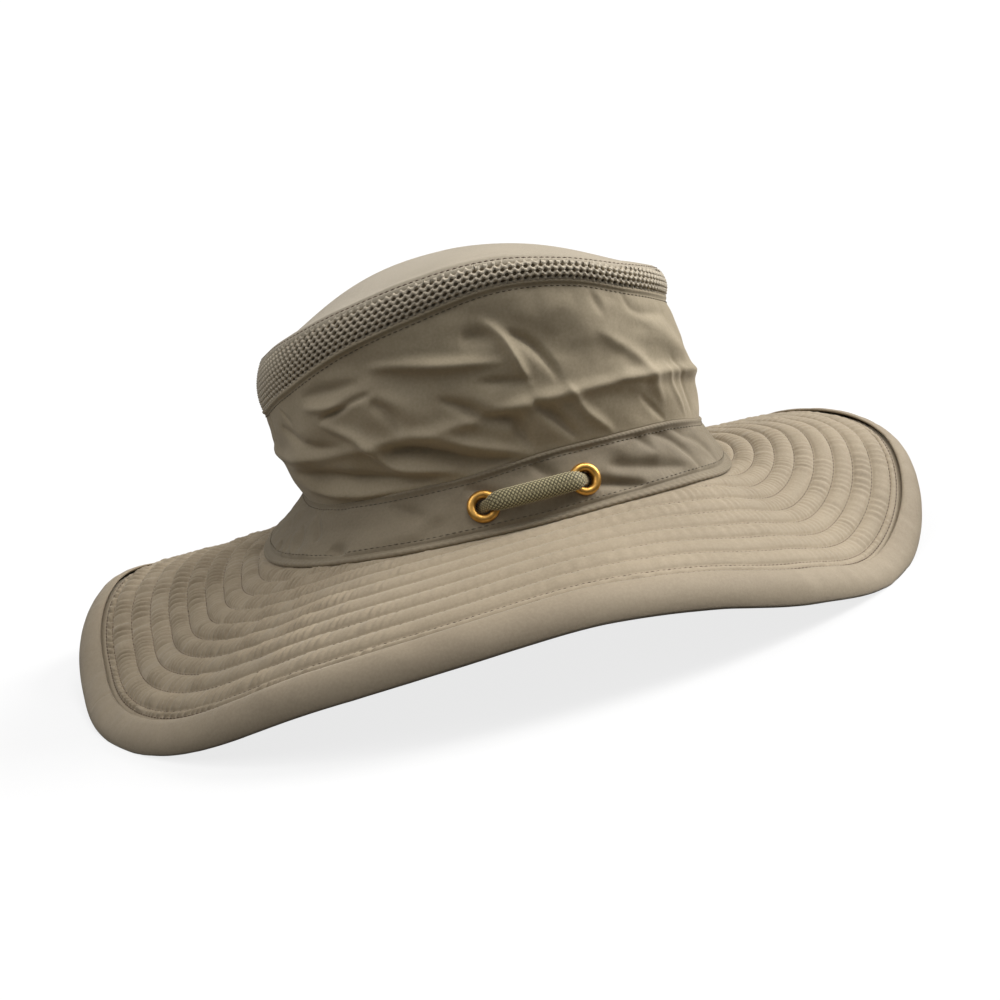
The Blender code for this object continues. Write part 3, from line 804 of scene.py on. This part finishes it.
# Folds drawn after the photo: half width and depth in mm, then heading and height share of each knot
WALL_CREASES = (
    (1.3, -1.2, (212, 0.65), (221, 0.67), (228, 0.68)),
    (2.6, -1.1, (208, 0.87), (218, 0.80), (226, 0.77)),
    (2.6, -1.7, (228, 0.63), (232, 0.51), (234, 0.39)),
    (2.6, -2.8, (226, 0.30), (234, 0.25), (241, 0.18), (251, 0.08), (260, 0.03)),
    (2.6, -2.2, (192, 0.33), (206, 0.25), (217, 0.15), (228, 0.09), (239, 0.06)),
    (2.2, -2.0, (246, 0.50), (252, 0.41), (256, 0.33), (264, 0.26), (266, 0.17), (268, 0.06)),
    (3.0, -1.0, (256, 0.79), (266, 0.73)),
    (1.8, -1.0, (270, 0.74), (276, 0.64), (280, 0.50), (281, 0.42)),
    (2.0, -1.6, (271, 0.33), (277, 0.22), (282, 0.06)),
    (1.8, -0.8, (257, 0.53), (266, 0.47), (273, 0.45)),
    (2.0, -0.35, (299, 0.94), (301, 0.78)),
    (2.0, -0.45, (310, 0.96), (314, 0.83), (330, 0.84)),
    (1.4, -0.35, (298, 0.34), (310, 0.33)),
    (1.4, 0.3, (318, 0.46), (320, 0.26), (325, 0.05)),
    (1.4, -0.3, (322, 0.52), (330, 0.08)),
    (1.4, -0.35, (306, 0.24), (314, 0.03)),
    (2.2, -1.1, (194, 0.76), (206, 0.50), (215, 0.42)),
    (0.8, -0.5, (184, 0.94), (185, 0.71)),
    (0.8, -0.5, (196, 0.90), (200, 0.73)),
    (2.2, 1.5, (230, 0.82), (238, 0.77), (249, 0.69), (266, 0.59)),
    (2.2, 1.7, (212, 0.64), (222, 0.42), (228, 0.20), (240, 0.11), (246, 0.07)),
    (2.0, 1.3, (264, 0.83), (268, 0.72), (270, 0.58), (272, 0.43)),
    (2.4, 1.3, (234, 0.38), (243, 0.29), (252, 0.18), (264, 0.06)),
    (2.0, 0.8, (283, 0.38), (287, 0.20), (294, 0.05)),
    (1.8, 1.0, (194, 0.19), (216, 0.07), (232, 0.05)),
    (1.8, 0.9, (208, 0.79), (220, 0.68), (226, 0.66)),
    (2.6, 0.6, (298, 0.67), (310, 0.47), (314, 0.17)),
    (2.4, -1.2, (20, 0.70), (34, 0.45), (50, 0.35)),
    (2.4, 1.0, (60, 0.25), (80, 0.40), (96, 0.45)),
    (2.4, -1.3, (104, 0.75), (120, 0.55), (132, 0.30)),
    (2.2, -1.0, (140, 0.60), (154, 0.35), (166, 0.30)),
)
BAND_CREASES = (
    (2.0, -0.8, (246, 0.86), (257, 0.56)),
    (2.0, -0.8, (266, 0.92), (274, 0.60)),
    (1.8, -1.3, (284, 0.36), (292, 0.26), (301, 0.10)),
    (2.6, -1.0, (290, 0.58), (302, 0.41), (316, 0.22)),
    (1.8, -0.6, (305, 1.00), (316, 0.65), (322, 0.10)),
    (1.8, -0.4, (300, 1.00), (307, 0.60)),
    (1.8, -0.5, (314, 1.00), (320, 0.78), (330, 0.45), (332, 0.10)),
    (2.2, -1.0, (224, 0.85), (236, 0.50)),
    (2.6, -1.2, (210, 0.25), (216, 0.05)),
    (1.2, -0.6, (182, 0.26), (184, 0.09)),
    (1.2, 0.6, (185, 0.48), (190, 0.16), (191, 0.04)),
    (1.2, 0.6, (188, 0.50), (194, 0.21), (198, 0.04)),
    (1.4, -0.8, (190, 0.61), (198, 0.22)),
    (1.6, -0.8, (197, 0.80), (204, 0.36)),
)


def strip_points(strip, heading, rise, lift):
    share = rise / strip_height(strip, heading)
    normal = crown_normal(strip, share, heading)
    base = crown_line(strip, share, heading)
    if strip == WALL:
        base = base + base_outward(heading) * fold_push(heading, share)[..., None]
    return base + normal * lift[..., None]


def near_density(heading):
    """Finer columns on the near side, where the most folds are."""
    return np.where(np.sin(np.radians(heading)) < 0.1, NEAR_WEIGHT, 1.0)


def crown_ring(strip, share, count, weight=None):
    return Round(lambda h: crown_line(strip, np.full_like(h, share), h), count, weight)


def slanted(ring, heading, rise):
    """Dents of slanted stitches round a rolled edge."""
    place = ring.run_at(heading) / ring.length * round(ring.length / DENT_PITCH)
    return np.cos(2 * pi * (place + DENT_SLANT * rise / DENT_PITCH))


def add_strip(name, strip, count, section, detail, look, slot, replaced, holes=(), foot=None):
    """A strip of cloth from a closed section of rises and lifts, with a foot of other points under it.

    Each row is a share of the strip's height, an offset and a lift in metres, how much of the
    detail it takes, and the depth in metres of its stitch dents.
    """
    ring = crown_ring(strip, 0.5, count, near_density)
    heading = np.broadcast_to(ring.heading, (len(section), count))
    height = strip_height(strip, heading)
    share, offset, lift, detailed, dent = (column[:, None] for column in section.T)
    rise = share * height + offset
    lift = lift + detailed * detail(ring, heading, rise) + dent * slanted(ring, heading, offset)
    points = strip_points(strip, heading, rise, lift)
    if foot:
        points = np.concatenate([foot(ring), points])
    run = running(length_of(np.diff(points[:, 0], axis=0)))
    across = np.broadcast_to(run[:, None], points.shape[:2])
    drop = np.zeros(points.shape[:2], bool)
    for middle in holes:
        drop |= length_of(points - middle) < EYELET_HOLE
    mesh = cloth_mesh(name, points, ring.along, across, ring.length, closed=True, drop=drop)
    piece = add_piece(name, mesh, look, slot, replaced)
    declare_cloth(piece, float(height[0].mean()), ring.length)


def declare_cloth(piece, width, length):
    print("flat size in mm of", piece.name, round(width / MM), "by", round(length / MM))


def span_rows(first, last, count, lift, detail):
    """Section rows spread between two rises, each a share of the height and an offset."""
    rises = np.linspace(first, last, count)
    return np.hstack([rises, np.broadcast_to((lift, detail, 0.0), (count, 3))])


def edge_rows(curve):
    """Section rows of the rolled edge at a strip's head, with the dents of its stitches."""
    count = len(curve)
    dents = DENT_DEPTH * np.sin(np.linspace(0, pi, count))[:, None]
    return np.hstack([np.ones((count, 1)), curve, np.zeros((count, 1)), dents])


def seam_stitches(name, strip, share, offset, detail):
    """A line of threads along a strip, at a share of its height and an offset."""
    ring = crown_ring(strip, 0.5, 8)

    def place(turn, up):
        rise = share * strip_height(strip, turn) + offset
        return strip_points(strip, turn, rise, up + detail(ring, turn, rise))

    heading = ring.spaced(THREAD_PITCH)
    here, ahead = place(heading, THREAD_LIFT), place(heading + 0.1, THREAD_LIFT)
    above = place(heading, THREAD_LIFT + MM)
    mesh = stitches(name, here, ahead - here, above - here, THREAD_SHARE * THREAD_PITCH, THREAD_RADIUS)
    add_piece(name, mesh, SEAM_THREAD_WITH_PAINTED_SHADE, "wall_nylon" if strip == WALL else "band_nylon")


def piping(ring):
    """Corded foot of the band, which lies on the brim."""
    turns = np.radians(np.linspace(-170, 118, 15))[:, None]
    place = ring.along / ring.length * round(ring.length / PIPING_PITCH)
    radius = PIPING * (1 + PIPING_DENT * np.cos(2 * pi * place + PIPING_SLANT * turns))
    heading = np.broadcast_to(ring.heading, radius.shape)
    lift = PRESSED_LIFT - PIPING_SINK + PIPING + radius * np.sin(turns)
    return brim_point(heading, PIPING_OUT + radius * np.cos(turns), lift)


def fade(distance, reach):
    """Grows from 0 at a seam to 1 at a reach from it."""
    return np.clip(distance / reach, 0, 1)


def band_detail(ring, heading, rise):
    below = strip_height(BAND, heading) - rise
    place, cells = ring.phase(heading, BAND_WAVE)
    soft = BAND_SOFT * mottle(place, rise / BAND_WAVE_HEIGHT, 21, cells)
    place, cells = ring.phase(heading, GATHER_WAVE)
    gathers = GATHER_HEIGHT * sample(GATHERS, 1, heading) * ripple(2 * place, 0, 23, 2 * cells)
    gathers = gathers * np.exp(-np.maximum(rise, 0) / GATHER_REACH)
    folds = crease(ring, BAND, heading, rise, BAND_CREASES) * np.clip(rise / (3 * MM), 0.2, 1)
    return soft * fade(rise, 3 * MM) * fade(below, 4 * MM) + gathers + folds * fade(below, 3 * MM)


def wall_detail(ring, heading, rise):
    below = strip_height(WALL, heading) - rise
    place, cells = ring.phase(heading, WALL_WAVE)
    soft = mottle(place, rise / WALL_WAVE_HEIGHT, 31, cells)
    soft = soft + FINE_SHARE * mottle(FINE_WAVES * place, rise / FINE_HEIGHT, 32, round(FINE_WAVES * cells))
    folds = crease(ring, WALL, heading, rise, WALL_CREASES)
    soft = WALL_SOFT * soft * fade(rise, 6 * MM) * fade(below, 6 * MM)
    return soft + folds * fade(rise, 3 * MM) * fade(below, 4 * MM)


def add_band(hole_middles):
    head = roll(-0.1 * MM, 0.75 * MM, 1.2 * MM, -65, 140, 9)
    section = np.vstack([
        span_rows((0, 1.3 * MM), (0, 1.5 * MM), 2, FACE - 0.75 * MM, 0.2),
        span_rows((0, 2.2 * MM), (0, 2.7 * MM), 2, FACE - 0.1 * MM, 0.6),
        span_rows((0, 3.1 * MM), (1, -2.4 * MM), 40, FACE, 1),
        edge_rows(head),
        span_rows((1, -1.0 * MM), (0, 0.8 * MM), 19, -FACE, 1),
    ])
    seam_stitches("band_foot_stitches", BAND, 0, 3.2 * MM, band_detail)
    seam_stitches("waist_stitches", BAND, 1, -2.4 * MM, band_detail)
    add_strip("band_cloth", BAND, BAND_COLUMNS, section, band_detail, BAND_NYLON_PAINTED_SHADE, "band_nylon", "hat_band",
              hole_middles, piping)


def add_wall():
    head = roll(-0.5 * MM, 0.65 * MM, 1.2 * MM, -65, 150, 9)
    section = np.vstack([
        span_rows((0, -0.2 * MM), (0, 0.6 * MM), 2, -0.1 * MM, 0),
        span_rows((0, 1.2 * MM), (1, -2.8 * MM), 64, FACE, 1),
        edge_rows(head),
        span_rows((1, -2.0 * MM), (0, 0.2 * MM), 24, -FACE, 1),
    ])
    seam_stitches("vent_foot_stitches", WALL, 1, -2.8 * MM, wall_detail)
    add_strip("wall_cloth", WALL, WALL_COLUMNS, section, wall_detail, NYLON, "wall_nylon", "crown_wall")


# Vent mesh
STRAND_SPACING = 2.05 * MM
STRAND_WAVE = 3.3 * MM
STRAND_SWING = 0.55 * MM
STRAND_RADIUS, STRAND_SWELL = 0.8 * MM, 0.18
STRAND_LIFT, STRAND_CREST = 0.45 * MM, 0.16 * MM
STRAND_SIDES, STRAND_STEPS, FIRST_STRAND = 5, 8, 0.35
NET_HEADROOM = 1.9 * MM
BACKING_COLUMNS = 360


def add_vent():
    backing = np.vstack([
        span_rows((0, -0.6 * MM), (1, 0.4 * MM), 6, -0.1 * MM, 0),
        span_rows((1, 0.4 * MM), (0, -0.6 * MM), 6, -FACE, 0),
    ])
    add_strip("vent_backing", VENT, BACKING_COLUMNS, backing, lambda ring, heading, rise: 0 * rise, BACKING,
              "vent_knit", "vent_mesh")
    ring = crown_ring(VENT, 0.5, 8)
    waves = round(ring.length / STRAND_WAVE)
    share = np.arange(STRAND_STEPS * waves) / (STRAND_STEPS * waves)
    run = share * ring.length
    heading = ring.heading_at(run)
    height = strip_height(VENT, heading)
    swing = np.cos(2 * pi * share * waves)
    turns = circle(STRAND_SIDES)
    thick = STRAND_RADIUS * (1 + STRAND_SWELL * np.abs(swing))
    lift = STRAND_LIFT + STRAND_CREST * np.abs(swing) + thick * np.cos(turns)
    spread = np.broadcast_to(heading, lift.shape)
    across = np.broadcast_to(turns * STRAND_RADIUS, lift.shape)
    faces, uvs, points = [], [], []
    for row in range(int((height.max() + STRAND_SPACING) / STRAND_SPACING)):
        rise = (row + FIRST_STRAND) * STRAND_SPACING + (-1) ** row * STRAND_SWING * swing
        grid = strip_points(VENT, spread, rise + thick * np.sin(turns), lift)
        hidden = np.broadcast_to(rise > height - NET_HEADROOM, lift.shape)
        found, maps = woven_grid(grid, run, across, ring.length, closed=True, drop=hidden)
        faces += [f + row * lift.size for f in found]
        uvs += maps
        points.append(grid.reshape(-1, 3))
    mesh = new_mesh("vent_net", *without_loose(np.concatenate(points) + ORIGIN, faces), uvs)
    add_piece("vent_net", mesh, KNIT, "vent_knit", "vent_mesh")


# Crown top
TOP_COLUMNS, TOP_RINGS, UNDER_RINGS = 480, 34, 10
TOP_PUCKER, TOP_PUCKER_WAVE, TOP_PUCKER_REACH = 0.35 * MM, 11 * MM, 12 * MM
TOP_DENT, DENT_PLACE, DENT_WIDTH = 0.12 * MM, 2.2 * MM, 1.2 * MM
GROOVE_INSET, GROOVE_HEIGHT, GROOVE_THREAD = -1.2 * MM, 0.38 * MM, 0.3 * MM


def dome_point(heading, out):
    """The top: a ruled sheet between its seams with an even rise; out is 1 at the seam."""
    rim = crown_section(3, heading)
    middle = crown_section(3, 360 * np.arange(SIDES) / SIDES).mean(axis=0)
    far, near, right, left = crown_section(3, np.array((90.0, 270.0, 0.0, 180.0)))[:, 2]
    middle[2] = (far + near) / 2
    here = middle + (rim - middle) * out[..., None]
    turn = np.radians(heading)
    saddle = middle[2] - (near - far) / 2 * np.sin(turn) * out
    saddle = saddle + ((right + left) / 2 - middle[2]) * (np.cos(turn) * out) ** 2
    blend = np.clip(out, 0, 1) ** 4
    here[..., 2] = saddle * (1 - blend) + rim[..., 2] * blend + DOME_RISE * (1 - out ** 2)
    return here


# Edge of the top: distance in from its seam and lift, in mm, for its rolled edge and the groove inside it
TOP_EDGE = np.array((
    (-0.3, -2.3), (-1.6, -2.75), (-2.35, -2.4), (-2.6, -1.7), (-2.45, -0.9), (-2.0, -0.2), (-1.45, 0.2),
    (-1.1, 0.05), (-0.85, 0.45), (-0.3, 1.0), (0.4, 1.3), (1.5, 1.3), (3.0, 1.05), (5.0, 0.85))) * MM


def add_top():
    ring = Round(lambda h: crown_section(3, h), TOP_COLUMNS)
    reach = length_of(crown_section(3, ring.heading)[:, :2])
    inset = np.concatenate([
        np.broadcast_to(TOP_EDGE[:, :1], (len(TOP_EDGE), TOP_COLUMNS)),
        np.linspace(0.09, 1, TOP_RINGS)[:-1, None] * reach])
    lift = np.concatenate([TOP_EDGE[:, 1], np.full(TOP_RINGS - 1, FACE)])[:, None]
    heading = np.broadcast_to(ring.heading, inset.shape)
    place, cells = ring.phase(heading, TOP_PUCKER_WAVE)
    pucker = ripple(place, 0, 41, cells) * np.exp(-inset / TOP_PUCKER_REACH) * fade(inset, 2 * MM)
    dents = slanted(ring, heading, inset) * np.clip(1 - np.abs(inset + DENT_PLACE) / DENT_WIDTH, 0, 1)
    points = dome_point(heading, 1 - inset / reach)
    points[..., 2] += lift + TOP_PUCKER * pucker + TOP_DENT * dents
    under_out = np.linspace(1, 0.06, UNDER_RINGS)[1:, None] * np.ones(TOP_COLUMNS)
    under = dome_point(np.broadcast_to(ring.heading, under_out.shape), under_out) - point(0, 0, FACE)
    grid = np.concatenate([under[::-1], points])
    across = np.concatenate([((1 - under_out) * reach)[::-1], inset])
    faces, uvs = woven_grid(grid, ring.along, across, ring.length)
    middle = dome_point(np.zeros(1), np.zeros(1))[0]
    tips = np.array([middle + (0, 0, FACE), middle - (0, 0, FACE)])
    flat = np.concatenate([grid.reshape(-1, 3), tips]) + ORIGIN
    k = np.arange(TOP_COLUMNS)
    j = (k + 1) % TOP_COLUMNS
    final = (len(grid) - 1) * TOP_COLUMNS
    caps = [np.stack([final + k, final + j, np.full_like(k, len(flat) - 2)], axis=-1),
            np.stack([j, k, np.full_like(k, len(flat) - 1)], axis=-1)]
    cap_uv = [np.zeros((TOP_COLUMNS, 3, 2))] * 2
    mesh = new_mesh("top_cloth", flat, faces + caps, uvs + cap_uv)
    add_top_stitches(ring)
    piece = add_piece("top_cloth", mesh, TOP_NYLON_PAINTED_SHEEN, "top_nylon", "crown_top")
    declare_cloth(piece, VENT_HEAD_WIDTH, VENT_HEAD_LENGTH)


def add_top_stitches(ring):
    """Threads in the groove inside the top's rolled edge."""
    heading = ring.spaced(THREAD_PITCH)

    def place(turn):
        return dome_point(turn, 1 - GROOVE_INSET / length_of(crown_section(3, turn)[:, :2]))

    here = place(heading)
    up = np.broadcast_to(np.array((0.0, 0.0, 1.0)), here.shape)
    mesh = stitches("top_stitches", here + up * GROOVE_HEIGHT, place(heading + 0.1) - here, up,
                    TOP_THREAD_SHARE * THREAD_PITCH, GROOVE_THREAD)
    add_piece("top_stitches", mesh, THREAD_WITH_PAINTED_SHADE, "top_nylon")


# Eyelets and cord
def band_frame(heading):
    """Point of the band's middle at the eyelets' height, its outward normal and the direction along it."""
    shares = np.full_like(heading, EYELET_HEIGHT_SHARE)
    here = crown_line(BAND, shares, heading)
    along = unit(crown_line(BAND, shares, heading + 1) - crown_line(BAND, shares, heading - 1))
    up = unit(crown_section(1, heading) - crown_section(0, heading))
    return here, unit(np.cross(along, up)), along


def eyelet_headings():
    ring = crown_ring(BAND, EYELET_HEIGHT_SHARE, 8)
    found = {}
    for side, middle, first, last in (("near", EYELET_HEADING, "left", "right"),
                                      ("far", 360 - EYELET_HEADING, "right", "left")):
        run = ring.run_at(np.array(middle))
        found[side + "_" + first] = float(ring.heading_at(run - EYELET_SPACING / 2))
        found[side + "_" + last] = float(ring.heading_at(run + EYELET_SPACING / 2))
    return found


HOLES = eyelet_headings()
EYELET_STEPS = 64

# Eyelet section: radius and height over the band's middle, in mm
EYELET_SECTION = np.array((
    (3.45, -1.35), (3.8, -1.75), (5.9, -1.7), (6.4, -1.3), (6.3, -1.12), (4.2, -1.1), (4.2, 1.1),
    (6.6, 1.08), (6.92, 1.25), (6.95, 1.65), (6.75, 2.15), (6.35, 2.6), (5.8, 2.9), (5.2, 3.0), (4.6, 2.9),
    (4.05, 2.55), (3.65, 2.05), (3.45, 1.4), (3.4, 0.6), (3.4, -0.6))) * MM


def add_eyelet(side, heading):
    here, normal, along = (v[0] for v in band_frame(np.array([heading])))
    turns = circle(EYELET_STEPS)
    spoke = along * np.cos(turns) + np.cross(normal, along) * np.sin(turns)
    points = here + spoke * EYELET_SECTION[:, :1, None] + normal * EYELET_SECTION[:, 1:, None]
    across = np.broadcast_to(EYELET_SECTION[:, 1:], points.shape[:2])
    name = "eyelet_ring_" + side
    mesh = cloth_mesh(name, points, turns[:, 0] * EYELET_BORE, across, 2 * pi * EYELET_BORE, closed=True)
    mesh.flip_normals()
    add_piece(name, mesh, BRASS, "eyelet_brass", "eyelet_" + side)


CORD_HALF_WIDTH, CORD_HALF_DEPTH = 4.2 * MM, 2.6 * MM
CORD_SIDES, CORD_STEPS = 48, 1040
CORD_TIGHTNESS, WIDE_POWER, DEEP_POWER = 2.2, 0.9, 0.8
OUTSIDE_SHARE, OUTSIDE_WEIGHT = -0.8, 5.0
BRAID_STRANDS, BRAID_LENGTH, BRAID_RISE, BRAID_POWER, BRAID_MEAN = 6, 3.3 * MM, 0.30 * MM, 0.7, 0.6


def cord_standoff(heading):
    """Height of the cord's middle over the band, outside between each pair and inside elsewhere."""
    away = np.full_like(heading, -EYELET_SPACING)
    here = crown_line(BAND, np.full_like(heading, EYELET_HEIGHT_SHARE), heading)
    for first, last in ((HOLES["near_left"], HOLES["near_right"]), (HOLES["far_right"], HOLES["far_left"])):
        last = last + 360 if last < first else last
        middle = crown_line(BAND, np.array([EYELET_HEIGHT_SHARE]), np.array([(first + last) / 2]))
        away = np.maximum(away, EYELET_SPACING / 2 - length_of(here - middle))
    return CORD_STANDOFF * np.tanh(CORD_STEEPNESS * away / CORD_STANDOFF)


def power(value, exponent):
    """A power that keeps its sign, to flatten a round section."""
    return np.sign(value) * np.abs(value) ** exponent


def add_cord():
    """The whole loop: outside the band between the eyelets of each pair, and inside it elsewhere."""

    def line(heading):
        here, normal = band_frame(heading)[:2]
        return here + normal * cord_standoff(heading)[:, None]

    def outside(heading):
        return np.where(cord_standoff(heading) > OUTSIDE_SHARE * CORD_STANDOFF, OUTSIDE_WEIGHT, 1.0)

    track = Round(line, CORD_STEPS, outside)
    middle = line(track.heading)
    normal, along_band = band_frame(track.heading)[1:]
    along = unit(np.roll(middle, -1, axis=0) - np.roll(middle, 1, axis=0))
    side = unit(np.cross(along, unit(np.cross(normal, along_band))))
    up = np.cross(side, along)
    tight = np.clip(CORD_TIGHTNESS * (1 - np.abs(cord_standoff(track.heading)) / CORD_STANDOFF), 0, 1)
    turns = circle(CORD_SIDES)
    length = 2 * pi * round(track.length / BRAID_LENGTH)
    run = length * track.along / track.length
    strand = BRAID_STRANDS * turns
    weave = np.abs(np.sin(strand + run) * np.sin(strand - run)) ** BRAID_POWER
    size = (1 - (1 - CORD_PINCH) * tight) * (1 + BRAID_RISE / CORD_HALF_DEPTH * (weave - BRAID_MEAN))
    wide = CORD_HALF_WIDTH * size * power(np.sin(turns), WIDE_POWER)
    deep = CORD_HALF_DEPTH * size * power(np.cos(turns), DEEP_POWER)
    points = middle + up * wide[..., None] + side * deep[..., None]
    across = np.broadcast_to(strand, points.shape[:2])
    mesh = cloth_mesh("cord_loop", points, run, across, length, closed=True)
    print("cord loop length", round(track.length, 4))
    add_piece("cord_loop", mesh, BRAID_PAINTED_LIGHT_AND_SHADE, "cord_braid", "cord")


# Camera, light and floor
CAMERA_AZIMUTH, CAMERA_RISE, CAMERA_ROLL = -12.0, 13.0, 9.5
CAMERA_DISTANCE = 900 * MM
CAMERA_ASIDE, CAMERA_ABOVE = 1.52 * MM, -0.82 * MM
CAMERA_LENS, CAMERA_SENSOR, CAMERA_NEAR = 71.28, 36, 10 * MM
SKY_LOW, SKY_HIGH = 0.035, 0.66
FLOOR_GLOW, BACKDROP_GLOW, FLOOR_HALF = 0.8, 1.05, 6.0

# Lamps far off: heading and height they shine from, width in degrees, strength
SUNS = (
    ("side_light", 2.0, 34.0, 28.0, 3.2),
    ("top_light", 325.0, 68.0, 24.0, 0.7),
    ("left_light", 200.0, 46.0, 34.0, 0.55),
)


def add_camera():
    azimuth, rise, roll_angle = radians(CAMERA_AZIMUTH), radians(CAMERA_RISE), radians(CAMERA_ROLL)
    back = np.array((np.sin(azimuth) * np.cos(rise), -np.cos(azimuth) * np.cos(rise), np.sin(rise)))
    right = np.array((np.cos(azimuth), np.sin(azimuth), 0))
    up = np.cross(back, right)
    x_axis = np.cos(roll_angle) * right - np.sin(roll_angle) * up
    y_axis = np.sin(roll_angle) * right + np.cos(roll_angle) * up
    place = ORIGIN + CAMERA_ASIDE * right + CAMERA_ABOVE * up + CAMERA_DISTANCE * back
    camera = bpy.data.objects.new("camera", bpy.data.cameras.new("camera"))
    camera.data.lens = CAMERA_LENS
    camera.data.sensor_width = CAMERA_SENSOR
    camera.data.clip_start = CAMERA_NEAR
    bpy.context.scene.collection.objects.link(camera)
    turned = Matrix([x_axis, y_axis, back]).transposed().to_4x4()
    camera.matrix_world = Matrix.Translation(Vector(place)) @ turned
    bpy.context.scene.camera = camera


def add_sun(name, heading, rise, width, strength):
    data = bpy.data.lights.new(name, "SUN")
    data.energy = strength
    data.angle = radians(width)
    data.color = (1.0, 0.99, 0.975)
    lamp = bpy.data.objects.new(name, data)
    bpy.context.scene.collection.objects.link(lamp)
    heading, rise = radians(heading), radians(rise)
    toward = Vector((np.cos(heading) * np.cos(rise), np.sin(heading) * np.cos(rise), np.sin(rise)))
    lamp.rotation_euler = toward.to_track_quat("Z", "Y").to_euler()


def add_stage():
    floor = bpy.data.meshes.new("floor")
    corners = [(x * FLOOR_HALF, y * FLOOR_HALF, 0) for x, y in ((-1, -1), (1, -1), (1, 1), (-1, 1))]
    floor.from_pydata(corners, [], [(0, 1, 2, 3)])
    look, tree, shader, where = start_look("floor_paper")
    connect(tree, shader, {
        "Base Color": mix(tree, (0.17, 0.17, 0.17), (0.18, 0.18, 0.18), noise(tree, where, 30, 4.0)),
        "Roughness": 0.9, "Specular IOR Level": 0.1,
        "Emission Color": (1, 1, 1, 1), "Emission Strength": FLOOR_GLOW})
    floor.materials.append(look)
    stage = bpy.data.objects.new("floor", floor)
    stage.visible_diffuse = stage.visible_glossy = False
    bpy.context.scene.collection.objects.link(stage)


def add_world():
    """White behind the hat for the camera, and soft light from above for everything else."""
    world = bpy.data.worlds.new("studio")
    bpy.context.scene.world = world
    world.use_nodes = True
    tree = world.node_tree
    where = add_node(tree, "ShaderNodeTexCoord")
    split = add_node(tree, "ShaderNodeSeparateXYZ", {"Vector": where.outputs["Generated"]})
    sky = tree.nodes["Background"]
    strength = remap(tree, split.outputs["Z"], 0, 1, SKY_LOW, SKY_HIGH)
    connect(tree, sky, {"Color": (0.98, 0.985, 1.0, 1), "Strength": strength})
    white = add_node(tree, "ShaderNodeBackground", {"Color": (1, 1, 1, 1), "Strength": BACKDROP_GLOW})
    path = add_node(tree, "ShaderNodeLightPath")
    blend = add_node(tree, "ShaderNodeMixShader", {
        "Fac": path.outputs["Is Camera Ray"], 1: sky.outputs["Background"], 2: white.outputs["Background"]})
    connect(tree, tree.nodes["World Output"], {"Surface": blend.outputs["Shader"]})


bpy.context.scene.view_settings.view_transform = "Standard"
add_camera()
add_stage()
add_world()
for sun in SUNS:
    add_sun(*sun)

add_brim()
add_binding()
hole_middles = [band_frame(np.array([h]))[0][0] for h in HOLES.values()]
add_band(hole_middles)
add_wall()
add_vent()
add_top()
for side, heading in HOLES.items():
    add_eyelet(side, heading)
add_cord()

bpy.context.view_layer.update()
